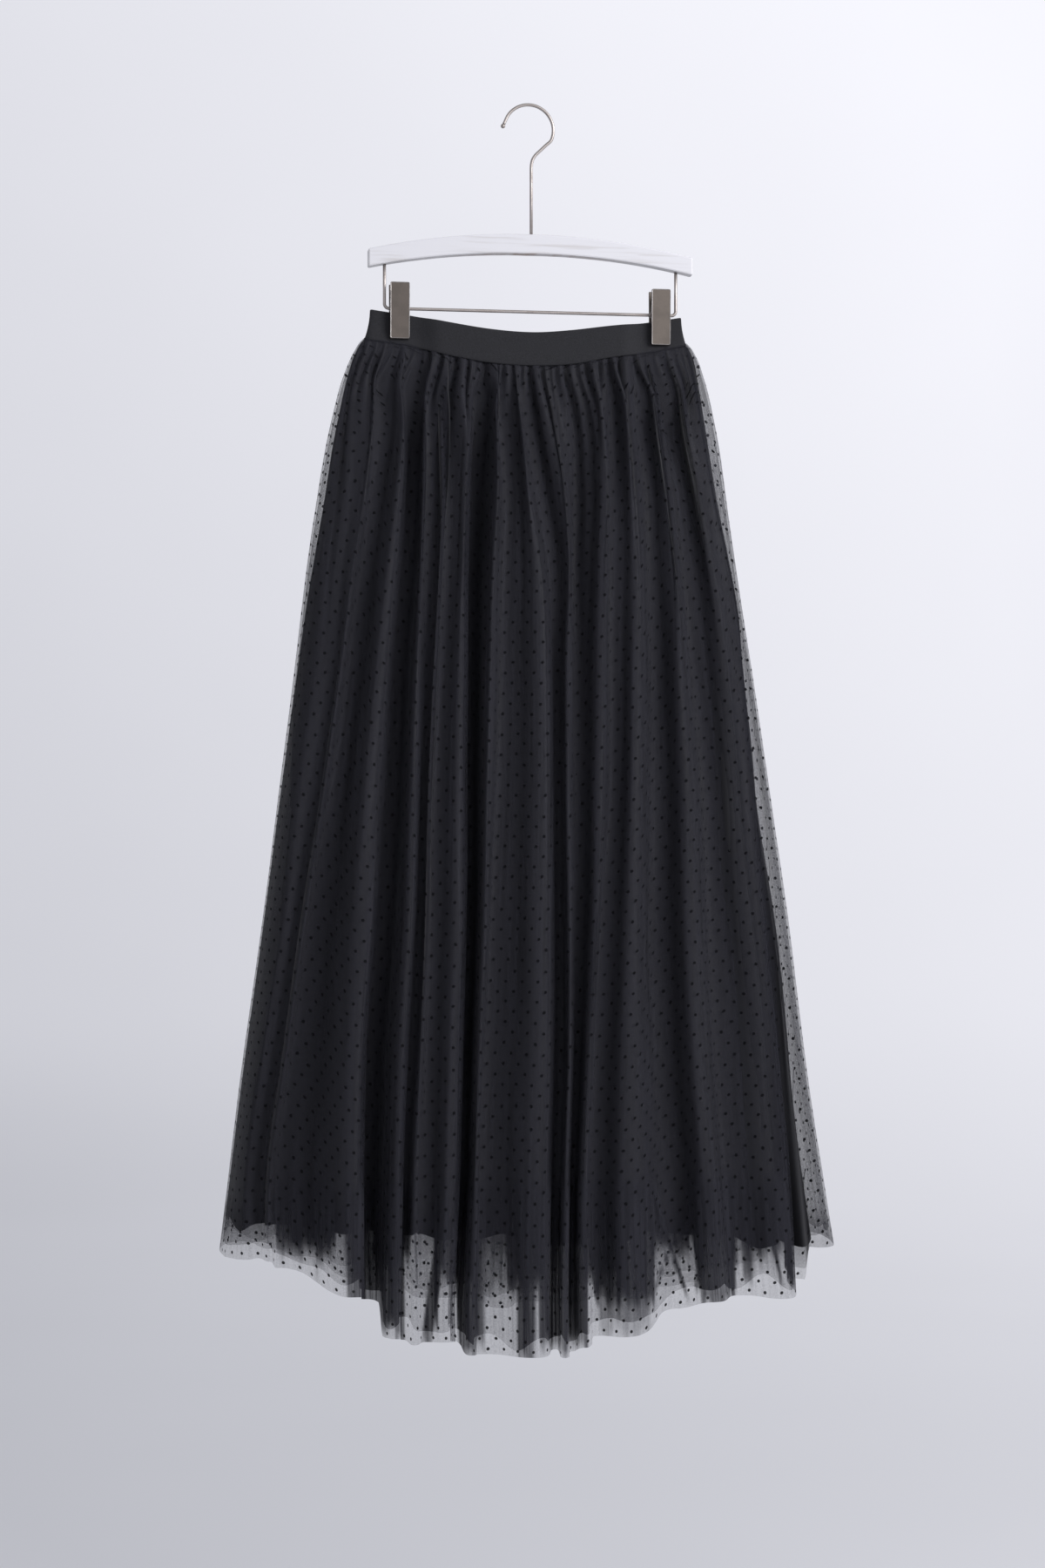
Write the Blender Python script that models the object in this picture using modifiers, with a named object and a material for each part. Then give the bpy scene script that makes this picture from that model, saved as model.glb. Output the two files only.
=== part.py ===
"""Tulle skirt on a wooden clip hanger: a gathered maxi skirt of dotted tulle over plain tulle and a shorter
lining, on a wide elastic waistband, held by two sprung metal clips.

Sizes are millimetres until MM turns them into metres. +X is the wearer's left as the front is looked at,
+Z is up and the front of the skirt faces -Y. The origin is the inner top of the hook, where it hangs.
"""

import math
from collections import namedtuple

import bmesh
import bpy
from mathutils import Vector

MM = 0.001
GAP = 0.3  # clearance between pieces that touch

# ---------------------------------------------------------------- driving sizes
# Hanger
WIRE_RADIUS = 1.6
HOOK_RADIUS = 25.0  # centreline
HOOK_CENTRE_X = -2.6
HOOK_TIP_RADIUS = 2.3
HOOK_ARC = (160.0, -22.0)  # degrees from +X, from the ball round to the neck
HOOK_NECK = ((14.5, -38.9), (8.8, -44.4), (4.0, -49.2), (1.5, -53.2), (0.4, -57.2), (0.0, -61.0))
BAR_LENGTH = 329.0
BAR_DEPTH = 20.0
BAR_THICKNESS = 12.0
BAR_RISE = 19.0
BAR_TOP_Z = -129.2
ROD_Z = -206.5
ROD_LEG_X = 148.0
ROD_BEND_RADIUS = 4.6
SOCKET_DEPTH = 9.0
CLIP_X = {"left": -133.2, "right": 131.4}
CLIP_WIDTH = 19.0
CLIP_TOP_Z = -181.6
CLIP_FOOT_Z = -237.3
CLIP_SHEET = 1.0

# Waistband
BAND_WALL = 1.8
BAND_GRIP = 2.3  # half of the flat band's thickness where a clip shuts on it
BAND_GRIP_FOOT = 4.6  # the same at the band's lower edge, where the gathers hold it open
GRIP_FLAT = 16.0  # each way from a clip's middle
GRIP_FADE = 24.0
BAND_STEPS = 16

# Skirt
SEAM = GAP / 2

BandLine = namedtuple("BandLine", "x top foot")
BAND_LINE = (
    BandLine(-175, -207.4, -237.6),
    BandLine(-124, -213.8, -244.2),
    BandLine(-84, -220.2, -253.4),
    BandLine(-45, -225.5, -259.6),
    BandLine(5, -227.8, -261.8),
    BandLine(40, -224.9, -259.4),
    BandLine(80, -219.6, -251.6),
    BandLine(122, -214.5, -244.7),
    BandLine(145, -210.6, -239.9),
    BandLine(165, -207.6, -236.0),
)
BAND_TOP_ENDS = (-162.6, 153.6)

# One row for each cross section of the skirt, from the gathered seam (fall 0) to the hem (fall 1):
# the side edges, the front and back ridges from the side seams' plane, that plane, how far the clips
# still pinch the section, the depth of its folds against the hem's, and the wall measured front to back.
Section = namedtuple("Section", "fall left right front back plane pinch fold wall")
SECTIONS = (
    Section(0.00, -168.4, 159.0, 11, 11, 0, 1.0, 0.05, 1.0),
    Section(0.03, -185.5, 174.5, 21, 18, 0, 0.5, 0.22, 1.3),
    Section(0.09, -201.0, 187.5, 30, 25, -1, 0.1, 0.42, 1.6),
    Section(0.20, -218.5, 202.0, 43, 37, -3, 0, 0.56, 1.8),
    Section(0.40, -241.5, 227.0, 62, 51, -6, 0, 0.72, 2.0),
    Section(0.62, -267.0, 255.0, 84, 66, -11, 0, 0.86, 2.0),
    Section(0.82, -292.0, 276.5, 100, 81, -15, 0, 0.95, 2.0),
    Section(1.00, -312.0, 301.0, 112, 94, -18, 0, 1.0, 2.0),
)

# Folds of a panel, one row for each ridge (kind 0) or trough (kind 1) from the skirt's left edge as it is
# looked at: how far across the section it lies near the top, half way and at the hem, the trough's depth
# at the hem, and the height of the outer hem there.
Fold = namedtuple("Fold", "kind top mid hem depth edge")
FRONT_FOLDS = (
    Fold(0, 0.000, 0.000, 0.000, 0, -1138),
    Fold(0, 0.018, 0.015, 0.014, 0, -1138),
    Fold(0, 0.045, 0.038, 0.036, 0, -1136),
    Fold(1, 0.131, 0.103, 0.072, 22, -1134),
    Fold(0, 0.162, 0.174, 0.189, 0, -1160),
    Fold(1, 0.197, 0.221, 0.219, 26, -1180),
    Fold(0, 0.229, 0.257, 0.251, 0, -1188),
    Fold(1, 0.260, 0.279, 0.281, 20, -1211),
    Fold(0, 0.316, 0.335, 0.326, 0, -1214),
    Fold(1, 0.358, 0.368, 0.362, 34, -1218),
    Fold(0, 0.400, 0.396, 0.382, 0, -1221),
    Fold(1, 0.442, 0.418, 0.404, 24, -1224),
    Fold(0, 0.516, 0.497, 0.485, 0, -1228),
    Fold(1, 0.577, 0.548, 0.524, 30, -1229),
    Fold(0, 0.606, 0.568, 0.540, 0, -1230),
    Fold(1, 0.641, 0.585, 0.556, 24, -1230),
    Fold(0, 0.691, 0.632, 0.576, 0, -1223),
    Fold(1, 0.752, 0.660, 0.597, 20, -1216),
    Fold(0, 0.789, 0.695, 0.640, 0, -1213),
    Fold(1, 0.833, 0.756, 0.723, 32, -1181),
    Fold(0, 0.857, 0.788, 0.754, 0, -1178),
    Fold(1, 0.880, 0.850, 0.796, 26, -1187),
    Fold(0, 0.918, 0.915, 0.855, 0, -1185),
    Fold(1, 0.947, 0.950, 0.900, 18, -1183),
    Fold(0, 0.970, 0.966, 0.925, 0, -1178),
    Fold(0, 0.984, 0.980, 0.950, 0, -1150),
    Fold(0, 1.000, 1.000, 1.000, 0, -1141),
)
BACK_FOLDS = (
    Fold(0, 0.000, 0.000, 0.000, 0, -1138),
    Fold(0, 0.018, 0.015, 0.014, 0, -1139),
    Fold(0, 0.050, 0.048, 0.050, 0, -1142),
    Fold(1, 0.110, 0.100, 0.095, 24, -1150),
    Fold(0, 0.165, 0.160, 0.150, 0, -1166),
    Fold(1, 0.225, 0.220, 0.215, 30, -1186),
    Fold(0, 0.290, 0.290, 0.280, 0, -1199),
    Fold(1, 0.355, 0.350, 0.345, 28, -1207),
    Fold(0, 0.410, 0.410, 0.415, 0, -1212),
    Fold(1, 0.475, 0.470, 0.480, 34, -1216),
    Fold(0, 0.535, 0.540, 0.545, 0, -1216),
    Fold(1, 0.600, 0.605, 0.610, 26, -1214),
    Fold(0, 0.655, 0.665, 0.675, 0, -1211),
    Fold(1, 0.720, 0.730, 0.740, 32, -1205),
    Fold(0, 0.785, 0.795, 0.800, 0, -1190),
    Fold(1, 0.850, 0.855, 0.865, 26, -1172),
    Fold(0, 0.905, 0.905, 0.915, 0, -1160),
    Fold(0, 0.984, 0.980, 0.950, 0, -1148),
    Fold(0, 1.000, 1.000, 1.000, 0, -1141),
)

# One row for each layer of cloth from outside in: the columns it stops short of the side seam, the room
# to the layer outside it at the seam and at the hem, how much shallower its folds are, and its hem, as
# a height above the outer hem or as heights of its own at the sides and the middle.
Layer = namedtuple("Layer", "name inset gap_top gap_hem ease above side middle")
LAYERS = (
    Layer("tulle", 0, 0, 0, 0, 0, None, None),
    Layer("under_tulle", 1, 0.4, 1.2, 0.08, 13, None, None),
    Layer("lining", 2, 0.4, 1.6, 0.16, None, -1108, -1124),
)

COLOURS = {
    "tulle": (0.012, 0.012, 0.015),
    "under_tulle": (0.016, 0.016, 0.019),
    "lining": (0.010, 0.010, 0.012),
    "band": (0.014, 0.014, 0.017),
    "wood": (0.74, 0.71, 0.72),
    "nickel": (0.55, 0.54, 0.52),
    "pewter": (0.24, 0.20, 0.16),
    "spring": (0.42, 0.42, 0.42),
}


# ---------------------------------------------------------------- helpers
def lerp(a, b, share):
    return a + (b - a) * share


def smooth(share):
    """0 to 1 with level ends."""
    share = min(max(share, 0.0), 1.0)
    return share * share * (3 - 2 * share)


def along(rows, key, x, name):
    """The named column of a table at x, by a curve through its rows with even slopes."""
    places = [getattr(row, key) for row in rows]
    values = [getattr(row, name) for row in rows]
    last = len(rows) - 1
    x = min(max(x, places[0]), places[-1])
    i = max(k for k in range(last) if places[k] <= x)

    def slope(k):
        low = max(k - 1, 0)
        high = min(k + 1, last)
        return (values[high] - values[low]) / (places[high] - places[low])

    width = places[i + 1] - places[i]
    t = (x - places[i]) / width
    rise = (2 * t**3 - 3 * t**2 + 1) * values[i] + (3 * t**2 - 2 * t**3) * values[i + 1]
    lean = (t**3 - 2 * t**2 + t) * slope(i) + (t**3 - t**2) * slope(i + 1)
    return rise + lean * width


def new_collection(name, shown):
    made = bpy.data.collections.new(name)
    bpy.context.scene.collection.children.link(made)
    made.hide_render = not shown
    return made


def material(name, colour, roughness, metallic=0.0):
    made = bpy.data.materials.new(name)
    made.use_nodes = True
    shader = made.node_tree.nodes["Principled BSDF"]
    shader.inputs["Base Color"].default_value = (*colour, 1)
    shader.inputs["Roughness"].default_value = roughness
    shader.inputs["Metallic"].default_value = metallic
    made.diffuse_color = (*colour, 1)
    return made


def add_mesh(name, points, faces, mat, smooth_shading=False):
    """A mesh object from points in millimetres."""
    mesh = bpy.data.meshes.new(name)
    mesh.from_pydata([Vector(p) * MM for p in points], [], faces)
    mesh.update()
    shell = bmesh.new()
    shell.from_mesh(mesh)
    bmesh.ops.recalc_face_normals(shell, faces=shell.faces)
    shell.to_mesh(mesh)
    shell.free()
    mesh.materials.append(mat)
    for face in mesh.polygons:
        face.use_smooth = smooth_shading
    made = bpy.data.objects.new(name, mesh)
    PARTS.objects.link(made)
    return made


def add_cutter(name, points, faces):
    """A guide solid that cuts a part and isn't one itself."""
    made = add_mesh(name, points, faces, MATERIALS["pewter"])
    PARTS.objects.unlink(made)
    CUTTERS.objects.link(made)
    made.hide_render = True
    made.display_type = "WIRE"
    return made


def prism(outline, low, high, axis):
    """Points and faces of a solid with this outline, from low to high along axis X or Y."""
    count = len(outline)
    order = {"X": lambda a, b, at: (at, a, b), "Y": lambda a, b, at: (a, at, b)}[axis]
    points = [order(a, b, at) for at in (low, high) for a, b in outline]
    faces = [tuple(range(count)), tuple(reversed(range(count, 2 * count)))]
    for k in range(count):
        n = (k + 1) % count
        faces.append((k, k + count, n + count, n))
    return points, faces


def block(low, high):
    corners = ((low[1], low[2]), (high[1], low[2]), (high[1], high[2]), (low[1], high[2]))
    return prism(corners, low[0], high[0], "X")


def cylinder(centre, radius, low, high, axis, sides=24):
    """A round solid between two places on an axis X or Z, about centre in the other two."""
    points = []
    for at in (low, high):
        for k in range(sides):
            angle = 2 * math.pi * k / sides
            a = centre[0] + radius * math.cos(angle)
            b = centre[1] + radius * math.sin(angle)
            points.append((at, a, b) if axis == "X" else (a, b, at))
    faces = [tuple(range(sides)), tuple(reversed(range(sides, 2 * sides)))]
    for k in range(sides):
        n = (k + 1) % sides
        faces.append((k, k + sides, n + sides, n))
    return points, faces


def cut(target, cutter):
    modifier = target.modifiers.new(f"cut_{cutter.name}", "BOOLEAN")
    modifier.operation = "DIFFERENCE"
    modifier.solver = "EXACT"
    modifier.object = cutter


def bevel(target, width, segments=2, angle=40):
    modifier = target.modifiers.new("edges", "BEVEL")
    modifier.width = width * MM
    modifier.segments = segments
    modifier.limit_method = "ANGLE"
    modifier.angle_limit = math.radians(angle)
    modifier.harden_normals = False


def wire(name, path, radius, mat):
    """A round wire through a path in millimetres."""
    curve = bpy.data.curves.new(name, "CURVE")
    curve.dimensions = "3D"
    curve.bevel_depth = radius * MM
    curve.bevel_resolution = 3
    curve.use_fill_caps = True
    line = curve.splines.new("POLY")
    line.points.add(len(path) - 1)
    for point, place in zip(line.points, path):
        point.co = (*(Vector(place) * MM), 1)
    curve.materials.append(mat)
    made = bpy.data.objects.new(name, curve)
    PARTS.objects.link(made)
    return made


def arc(centre, radius, start, end, steps):
    """Places on an arc in the XZ plane, angles in degrees from +X."""
    found = []
    for k in range(steps + 1):
        angle = math.radians(lerp(start, end, k / steps))
        x = centre[0] + radius * math.cos(angle)
        z = centre[1] + radius * math.sin(angle)
        found.append((x, 0.0, z))
    return found


# ---------------------------------------------------------------- cloth
def band_half_depth(x, left, right, base, grip, pinch):
    """Half the thickness of the flattened loop at x: full in the middle, round at the folded ends and
    shut to grip under the clips."""
    middle = (left + right) / 2
    share = min(abs(x - middle) / ((right - left) / 2), 1.0)
    full = base * (1 - share**3) ** (1 / 3)
    nearest = min(abs(x - at) for at in CLIP_X.values())
    hold = 1 - smooth((nearest - GRIP_FLAT) / GRIP_FADE)
    return lerp(full, min(grip, full), hold * pinch)


def fold_places(folds, fall):
    """How far across the section each row of a fold table lies at this fall."""
    if fall <= 0.5:
        share = smooth(fall / 0.5)
        return [lerp(f.top, f.mid, share) for f in folds]
    return [lerp(f.mid, f.hem, (fall - 0.5) / 0.5) for f in folds]


def columns(folds, section):
    """One entry for each row of the fold table and one half way to the next: its place across, how much
    of a trough it is (1 at the bottom) and the trough's depth there."""
    places = fold_places(folds, section.fall)
    width = section.right - section.left
    found = []
    for k, fold in enumerate(folds):
        if fold.kind:
            room = min(places[k] - places[k - 1], places[k + 1] - places[k]) * width
            deep = min(fold.depth * section.fold, 1.05 * room)
        else:
            deep = 0.0
        found.append([places[k], deep])
    full = []
    for k, (place, deep) in enumerate(found):
        full.append((place, deep))
        if k + 1 < len(found):
            after = found[k + 1]
            full.append(((place + after[0]) / 2, (deep + after[1]) / 2))
    return full


def outer_rows(folds, front):
    """For each section, the x and the half depth of the outer tulle's outer face at every column."""
    rows = []
    for section in SECTIONS:
        base = section.front if front else section.back
        row = []
        for place, deep in columns(folds, section):
            x = lerp(section.left, section.right, place)
            flat = band_half_depth(x, section.left, section.right, base, BAND_GRIP_FOOT, section.pinch)
            edge = section.wall + SEAM
            row.append([x, max(flat, edge) - deep * smooth(flat / max(base, 1)), deep])
        row[0][1] = section.wall + SEAM
        row[-1][1] = section.wall + SEAM
        rows.append(row)
    return rows


def layer_rows(folds, front, index):
    """The rows of a layer: x, half depths of its outer and inner faces, at every column it has."""
    rows = []
    for section, outer in zip(SECTIONS, outer_rows(folds, front)):
        deepest = max(entry[2] for entry in outer) + 1e-6
        half = [entry[1] for entry in outer]
        for layer in LAYERS[1 : index + 1]:
            gap = lerp(layer.gap_top, layer.gap_hem, smooth(section.fall / 0.25))
            ease = layer.ease * section.fold
            for k, entry in enumerate(outer):
                near = (deepest - entry[2]) * ease
                half[k] -= section.wall + gap + near * smooth(half[k] / 30)
        inset = LAYERS[index].inset
        least = section.wall + SEAM
        keep = range(inset, len(outer) - inset)
        row = [(outer[k][0], max(half[k], least)) for k in keep]
        row[0] = (row[0][0], least)
        row[-1] = (row[-1][0], least)
        rows.append(row)
    return rows


def hem_heights(folds):
    """The outer hem's height at every column."""
    edges = [fold.edge for fold in folds]
    full = []
    for k, edge in enumerate(edges):
        full.append(edge)
        if k + 1 < len(edges):
            full.append((edge + edges[k + 1]) / 2)
    return full


def panel(layer_index, folds, front, mat):
    """One panel of a layer: outer and inner faces joined round all four edges."""
    layer = LAYERS[layer_index]
    rows = layer_rows(folds, front, layer_index)
    hems = hem_heights(folds)
    hems = hems[layer.inset : len(hems) - layer.inset]
    count = len(rows[0])
    side = -1 if front else 1
    grid = []
    for section, row in zip(SECTIONS, rows):
        line = []
        for k, (x, half) in enumerate(row):
            seam_x = rows[0][k][0]
            top = along(BAND_LINE, "x", seam_x, "foot") - SEAM
            z = lerp(top, hems[k], section.fall)
            outer = (x, section.plane + side * half, z)
            inner = (x, section.plane + side * (half - section.wall), z)
            line.append((outer, inner))
        grid.append(line)

    # The layer's own hem cuts the last stretch short.
    before = grid[-2]
    after = grid[-1]
    line = []
    for k in range(count):
        if layer.side is None:
            wanted = hems[k] + layer.above
        else:
            share = abs(2 * k / (count - 1) - 1)
            wanted = lerp(layer.middle, layer.side, smooth(share))
        z0 = before[k][0][2]
        z1 = after[k][0][2]
        share = min((wanted - z0) / (z1 - z0), 1.0)
        pair = []
        for face in (0, 1):
            pair.append(tuple(lerp(a, b, share) for a, b in zip(before[k][face], after[k][face])))
        line.append(tuple(pair))
    grid[-1] = line

    height = len(grid)
    points = [pair[face] for face in (0, 1) for line in grid for pair in line]
    inner = height * count

    def at(face, row, column):
        return face * inner + row * count + column

    faces = []
    for r in range(height - 1):
        for c in range(count - 1):
            for face in (0, 1):
                quad = [at(face, r, c), at(face, r, c + 1), at(face, r + 1, c + 1), at(face, r + 1, c)]
                faces.append(tuple(quad[:3]))
                faces.append((quad[0], quad[2], quad[3]))
    for c in range(count - 1):
        for r in (0, height - 1):
            faces.append((at(0, r, c), at(0, r, c + 1), at(1, r, c + 1), at(1, r, c)))
    for r in range(height - 1):
        for c in (0, count - 1):
            faces.append((at(0, r, c), at(0, r + 1, c), at(1, r + 1, c), at(1, r, c)))
    name = f"{layer.name}_{'front' if front else 'back'}"
    return add_mesh(name, points, faces, mat)


def band_places():
    """How far across the band its corners lie: even steps, with more at the edges of each clip."""
    seam = SECTIONS[0]
    width = seam.right - seam.left
    wanted = []
    for at in CLIP_X.values():
        for away in (-26, -GRIP_FLAT, GRIP_FLAT, 26):
            wanted.append((at + away - seam.left) / width)
    wanted = [place for place in wanted if 0.02 < place < 0.98]
    for k in range(BAND_STEPS + 1):
        if all(abs(k / BAND_STEPS - place) > 0.02 for place in wanted) or k in (0, BAND_STEPS):
            wanted.append(k / BAND_STEPS)
    return sorted(wanted)


def waistband():
    """The elastic loop, flattened between the clips: a ring of wall BAND_WALL with three heights."""
    seam = SECTIONS[0]
    places = band_places()
    heights = ("top", "grip", "foot")
    rings = {"outer": [], "inner": []}
    for height in heights:
        share = {"top": 0.0, "grip": 0.9, "foot": 1.0}[height]
        left = lerp(BAND_TOP_ENDS[0], seam.left, share**2)
        right = lerp(BAND_TOP_ENDS[1], seam.right, share**2)
        grip = BAND_GRIP_FOOT if height == "foot" else BAND_GRIP
        base = {"top": 9.0, "grip": 10.0, "foot": 11.0}[height]
        outer = []
        inner = []
        for turn in (-1, 1):
            run = places if turn < 0 else places[::-1]
            for place in run[:-1]:
                x = lerp(left, right, place)
                half = band_half_depth(x, left, right, base, grip, 1.0)
                foot_x = lerp(seam.left, seam.right, place)
                z_top = along(BAND_LINE, "x", foot_x, "top")
                z_foot = along(BAND_LINE, "x", foot_x, "foot") + SEAM
                z = lerp(z_top, z_foot, share)
                end = place in (0.0, 1.0)
                inward = BAND_WALL if place == 0.0 else -BAND_WALL if place == 1.0 else 0.0
                outer.append((x, 0.0 if end else turn * half, z))
                inner.append((x + inward, 0.0 if end else turn * (half - BAND_WALL), z))
        rings["outer"].append(outer)
        rings["inner"].append(inner)
    count = len(rings["outer"][0])
    points = [p for side in ("outer", "inner") for ring in rings[side] for p in ring]
    inner_start = len(heights) * count
    faces = []
    for k in range(count):
        n = (k + 1) % count
        for start in (0, inner_start):
            for r in range(len(heights) - 1):
                a = start + r * count
                b = a + count
                faces.append((a + k, a + n, b + n))
                faces.append((a + k, b + n, b + k))
        for r in (0, len(heights) - 1):
            a = r * count
            b = inner_start + r * count
            faces.append((a + k, a + n, b + n, b + k))
    return add_mesh("waistband", points, faces, MATERIALS["band"])


# ---------------------------------------------------------------- hanger
def bar_height(x):
    """Top of the arched bar at x."""
    half = BAR_LENGTH / 2
    radius = (half**2 + BAR_RISE**2) / (2 * BAR_RISE)
    return BAR_TOP_Z - radius + math.sqrt(radius**2 - x**2)


def hanger_bar():
    steps = 24
    places = [lerp(-BAR_LENGTH / 2, BAR_LENGTH / 2, k / steps) for k in range(steps + 1)]
    top = [(x, bar_height(x)) for x in places]
    foot = [(x, bar_height(x) - lerp(BAR_DEPTH, 18.0, abs(x) / (BAR_LENGTH / 2))) for x in places[::-1]]
    points, faces = prism(top + foot, -BAR_THICKNESS / 2, BAR_THICKNESS / 2, "Y")
    bar = add_mesh("hanger_bar", points, faces, MATERIALS["wood"])
    bevel(bar, 1.6)
    radius = WIRE_RADIUS + GAP
    for name, x, low, high in (
        ("socket_hook", 0.0, BAR_TOP_Z - SOCKET_DEPTH - GAP, BAR_TOP_Z + 5),
        ("socket_left", -ROD_LEG_X, -175.0, ROD_LEG_TOP + GAP),
        ("socket_right", ROD_LEG_X, -175.0, ROD_LEG_TOP + GAP),
    ):
        cutter = add_cutter(name, *cylinder((x, 0.0), radius, low, high, "Z"))
        cut(bar, cutter)
    return bar


def hook():
    """The wire hook with its ball, which stands GAP off the wire's end."""
    centre = (HOOK_CENTRE_X, WIRE_RADIUS - HOOK_RADIUS)
    path = arc(centre, HOOK_RADIUS, *HOOK_ARC, 24)
    start = Vector(path[0])
    tangent = (start - Vector(path[1])).normalized()
    path.insert(0, tuple(start + tangent * 4.0))
    path += [(x, 0.0, z) for x, z in HOOK_NECK]
    path.append((0.0, 0.0, BAR_TOP_Z - SOCKET_DEPTH))
    made = wire("hook", path, WIRE_RADIUS, MATERIALS["nickel"])
    place = start + tangent * (4.0 + HOOK_TIP_RADIUS + GAP)
    bpy.ops.mesh.primitive_uv_sphere_add(segments=20, ring_count=12, radius=HOOK_TIP_RADIUS * MM)
    ball = bpy.context.object
    ball.name = "hook_tip"
    ball.data.name = "hook_tip"
    ball.location = place * MM
    ball.data.materials.append(MATERIALS["nickel"])
    for owner in list(ball.users_collection):
        owner.objects.unlink(ball)
    PARTS.objects.link(ball)
    return made


def clip_rod():
    bend = ROD_BEND_RADIUS
    left = arc((-ROD_LEG_X + bend, ROD_Z + bend), bend, 180, 270, 6)
    right = arc((ROD_LEG_X - bend, ROD_Z + bend), bend, 270, 360, 6)
    path = [(-ROD_LEG_X, 0.0, ROD_LEG_TOP), *left, *right, (ROD_LEG_X, 0.0, ROD_LEG_TOP)]
    return wire("clip_rod", path, WIRE_RADIUS, MATERIALS["nickel"])


def jaw_outline(front):
    """Side view of a jaw as (y, z): a leaf from the finger end to a lip that closes on the band, with
    an ear about the rod."""
    lip = BAND_GRIP + GAP
    ear = 2.8
    side = -1 if front else 1
    outline = [
        (9.2, CLIP_TOP_Z),
        (6.4, CLIP_TOP_Z),
        (5.6, -195.0),
        (1.6, ROD_Z + 3.4),
        (-ear * 0.75, ROD_Z + ear * 0.75),
        (-ear, ROD_Z),
        (-ear * 0.75, ROD_Z - ear * 0.75),
        (0.6, ROD_Z - ear),
        (4.2, ROD_Z - 4.6),
        (4.2, CLIP_FOOT_Z + 5.0),
        (lip, CLIP_FOOT_Z + 3.4),
        (lip, CLIP_FOOT_Z),
        (6.4, CLIP_FOOT_Z),
        (7.4, CLIP_FOOT_Z + 4.0),
    ]
    return [(side * y, z) for y, z in outline]


def clip(side_name):
    at = CLIP_X[side_name]
    half = CLIP_WIDTH / 2
    sheet = CLIP_SHEET
    slope = (9.2 - 7.4) / (CLIP_TOP_Z - CLIP_FOOT_Z - 4.0)

    # Front jaw: leaf and lip the full width, its ears outermost.
    points, faces = prism(jaw_outline(True), at - half, at + half, "X")
    front = add_mesh(f"clip_{side_name}_front", points, faces, MATERIALS["pewter"])
    bevel(front, 0.35, 1, 50)
    high = CLIP_TOP_Z - sheet
    low = CLIP_FOOT_Z + 4.6

    def leaf(z):
        return 7.4 + slope * (z - CLIP_FOOT_Z - 4.0)

    pocket = [(-leaf(high) + sheet, high), (8, high), (8, low), (-leaf(low) + sheet, low)]
    cut(front, add_cutter(f"pocket_{side_name}_f", *prism(pocket, at - half + sheet, at + half - sheet, "X")))
    hole = cylinder((0.0, ROD_Z), WIRE_RADIUS + GAP, at - half - 2, at + half + 2, "X")
    drill = add_cutter(f"drill_{side_name}", *hole)
    cut(front, drill)

    # Back jaw: the same leaf and lip, with ears that fit inside the front jaw's.
    points, faces = prism(jaw_outline(False), at - half, at + half, "X")
    back = add_mesh(f"clip_{side_name}_back", points, faces, MATERIALS["pewter"])
    bevel(back, 0.35, 1, 50)
    inside = half - 2 * sheet - GAP
    pocket = [(leaf(high) - sheet, high), (-8, high), (-8, low), (leaf(low) - sheet, low)]
    cut(back, add_cutter(f"pocket_{side_name}_b", *prism(pocket, at - inside, at + inside, "X")))
    shoulder = [(5.7, -192.0), (-8, -192.0), (-8, ROD_Z - 6), (5.7, ROD_Z - 6)]
    for turn, start in (("l", at - half - 1), ("r", at + inside + sheet)):
        relief = prism(shoulder, start, start + sheet + GAP + 1, "X")
        cut(back, add_cutter(f"relief_{side_name}_{turn}", *relief))
    cut(back, drill)

    # The torsion spring between the ears: turns of wire about the rod.
    name = f"clip_{side_name}_spring"
    shape = bpy.data.meshes.new(name)
    coil = bpy.data.objects.new(name, shape)
    PARTS.objects.link(coil)
    turns = 7
    pitch = (2 * inside - 2 * GAP) / turns
    wire_radius = pitch / 2 * 0.98
    inner = WIRE_RADIUS + GAP
    profile = [(inner, 0.0)]
    for k in range(turns):
        for step in range(1, 6):
            angle = math.pi * step / 6
            place = pitch * (k + 0.5) - wire_radius * math.cos(angle)
            profile.append((inner + 0.25 + wire_radius * math.sin(angle), place))
        profile.append((inner + 0.3, pitch * (k + 1)))
    profile.append((inner, pitch * turns))
    mesh = bmesh.new()
    corners = [mesh.verts.new((0.0, r * MM, (z - pitch * turns / 2) * MM)) for r, z in profile]
    for k in range(len(corners)):
        mesh.edges.new((corners[k], corners[(k + 1) % len(corners)]))
    bmesh.ops.spin(
        mesh,
        geom=mesh.verts[:] + mesh.edges[:],
        cent=(0, 0, 0),
        axis=(0, 0, 1),
        angle=2 * math.pi,
        steps=16,
        use_merge=True,
    )
    bmesh.ops.remove_doubles(mesh, verts=mesh.verts, dist=1e-6)
    bmesh.ops.recalc_face_normals(mesh, faces=mesh.faces)
    mesh.to_mesh(shape)
    mesh.free()
    coil.rotation_euler = (0, math.pi / 2, 0)
    coil.location = Vector((at, 0, ROD_Z)) * MM
    shape.materials.append(MATERIALS["spring"])


# ---------------------------------------------------------------- build
for old in list(bpy.data.objects):
    bpy.data.objects.remove(old)

PARTS = new_collection("tulle_skirt", True)
CUTTERS = new_collection("cutters", False)
MATERIALS = {
    "tulle": material("dotted_tulle", COLOURS["tulle"], 0.85),
    "under_tulle": material("plain_tulle", COLOURS["under_tulle"], 0.85),
    "lining": material("lining_cloth", COLOURS["lining"], 0.7),
    "band": material("elastic_band", COLOURS["band"], 0.75),
    "wood": material("whitewashed_wood", COLOURS["wood"], 0.6),
    "nickel": material("satin_nickel", COLOURS["nickel"], 0.35, 1.0),
    "pewter": material("pewter_plate", COLOURS["pewter"], 0.4, 1.0),
    "spring": material("spring_steel", COLOURS["spring"], 0.35, 1.0),
}
ROD_LEG_TOP = bar_height(ROD_LEG_X) - 18.2 + SOCKET_DEPTH

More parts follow.
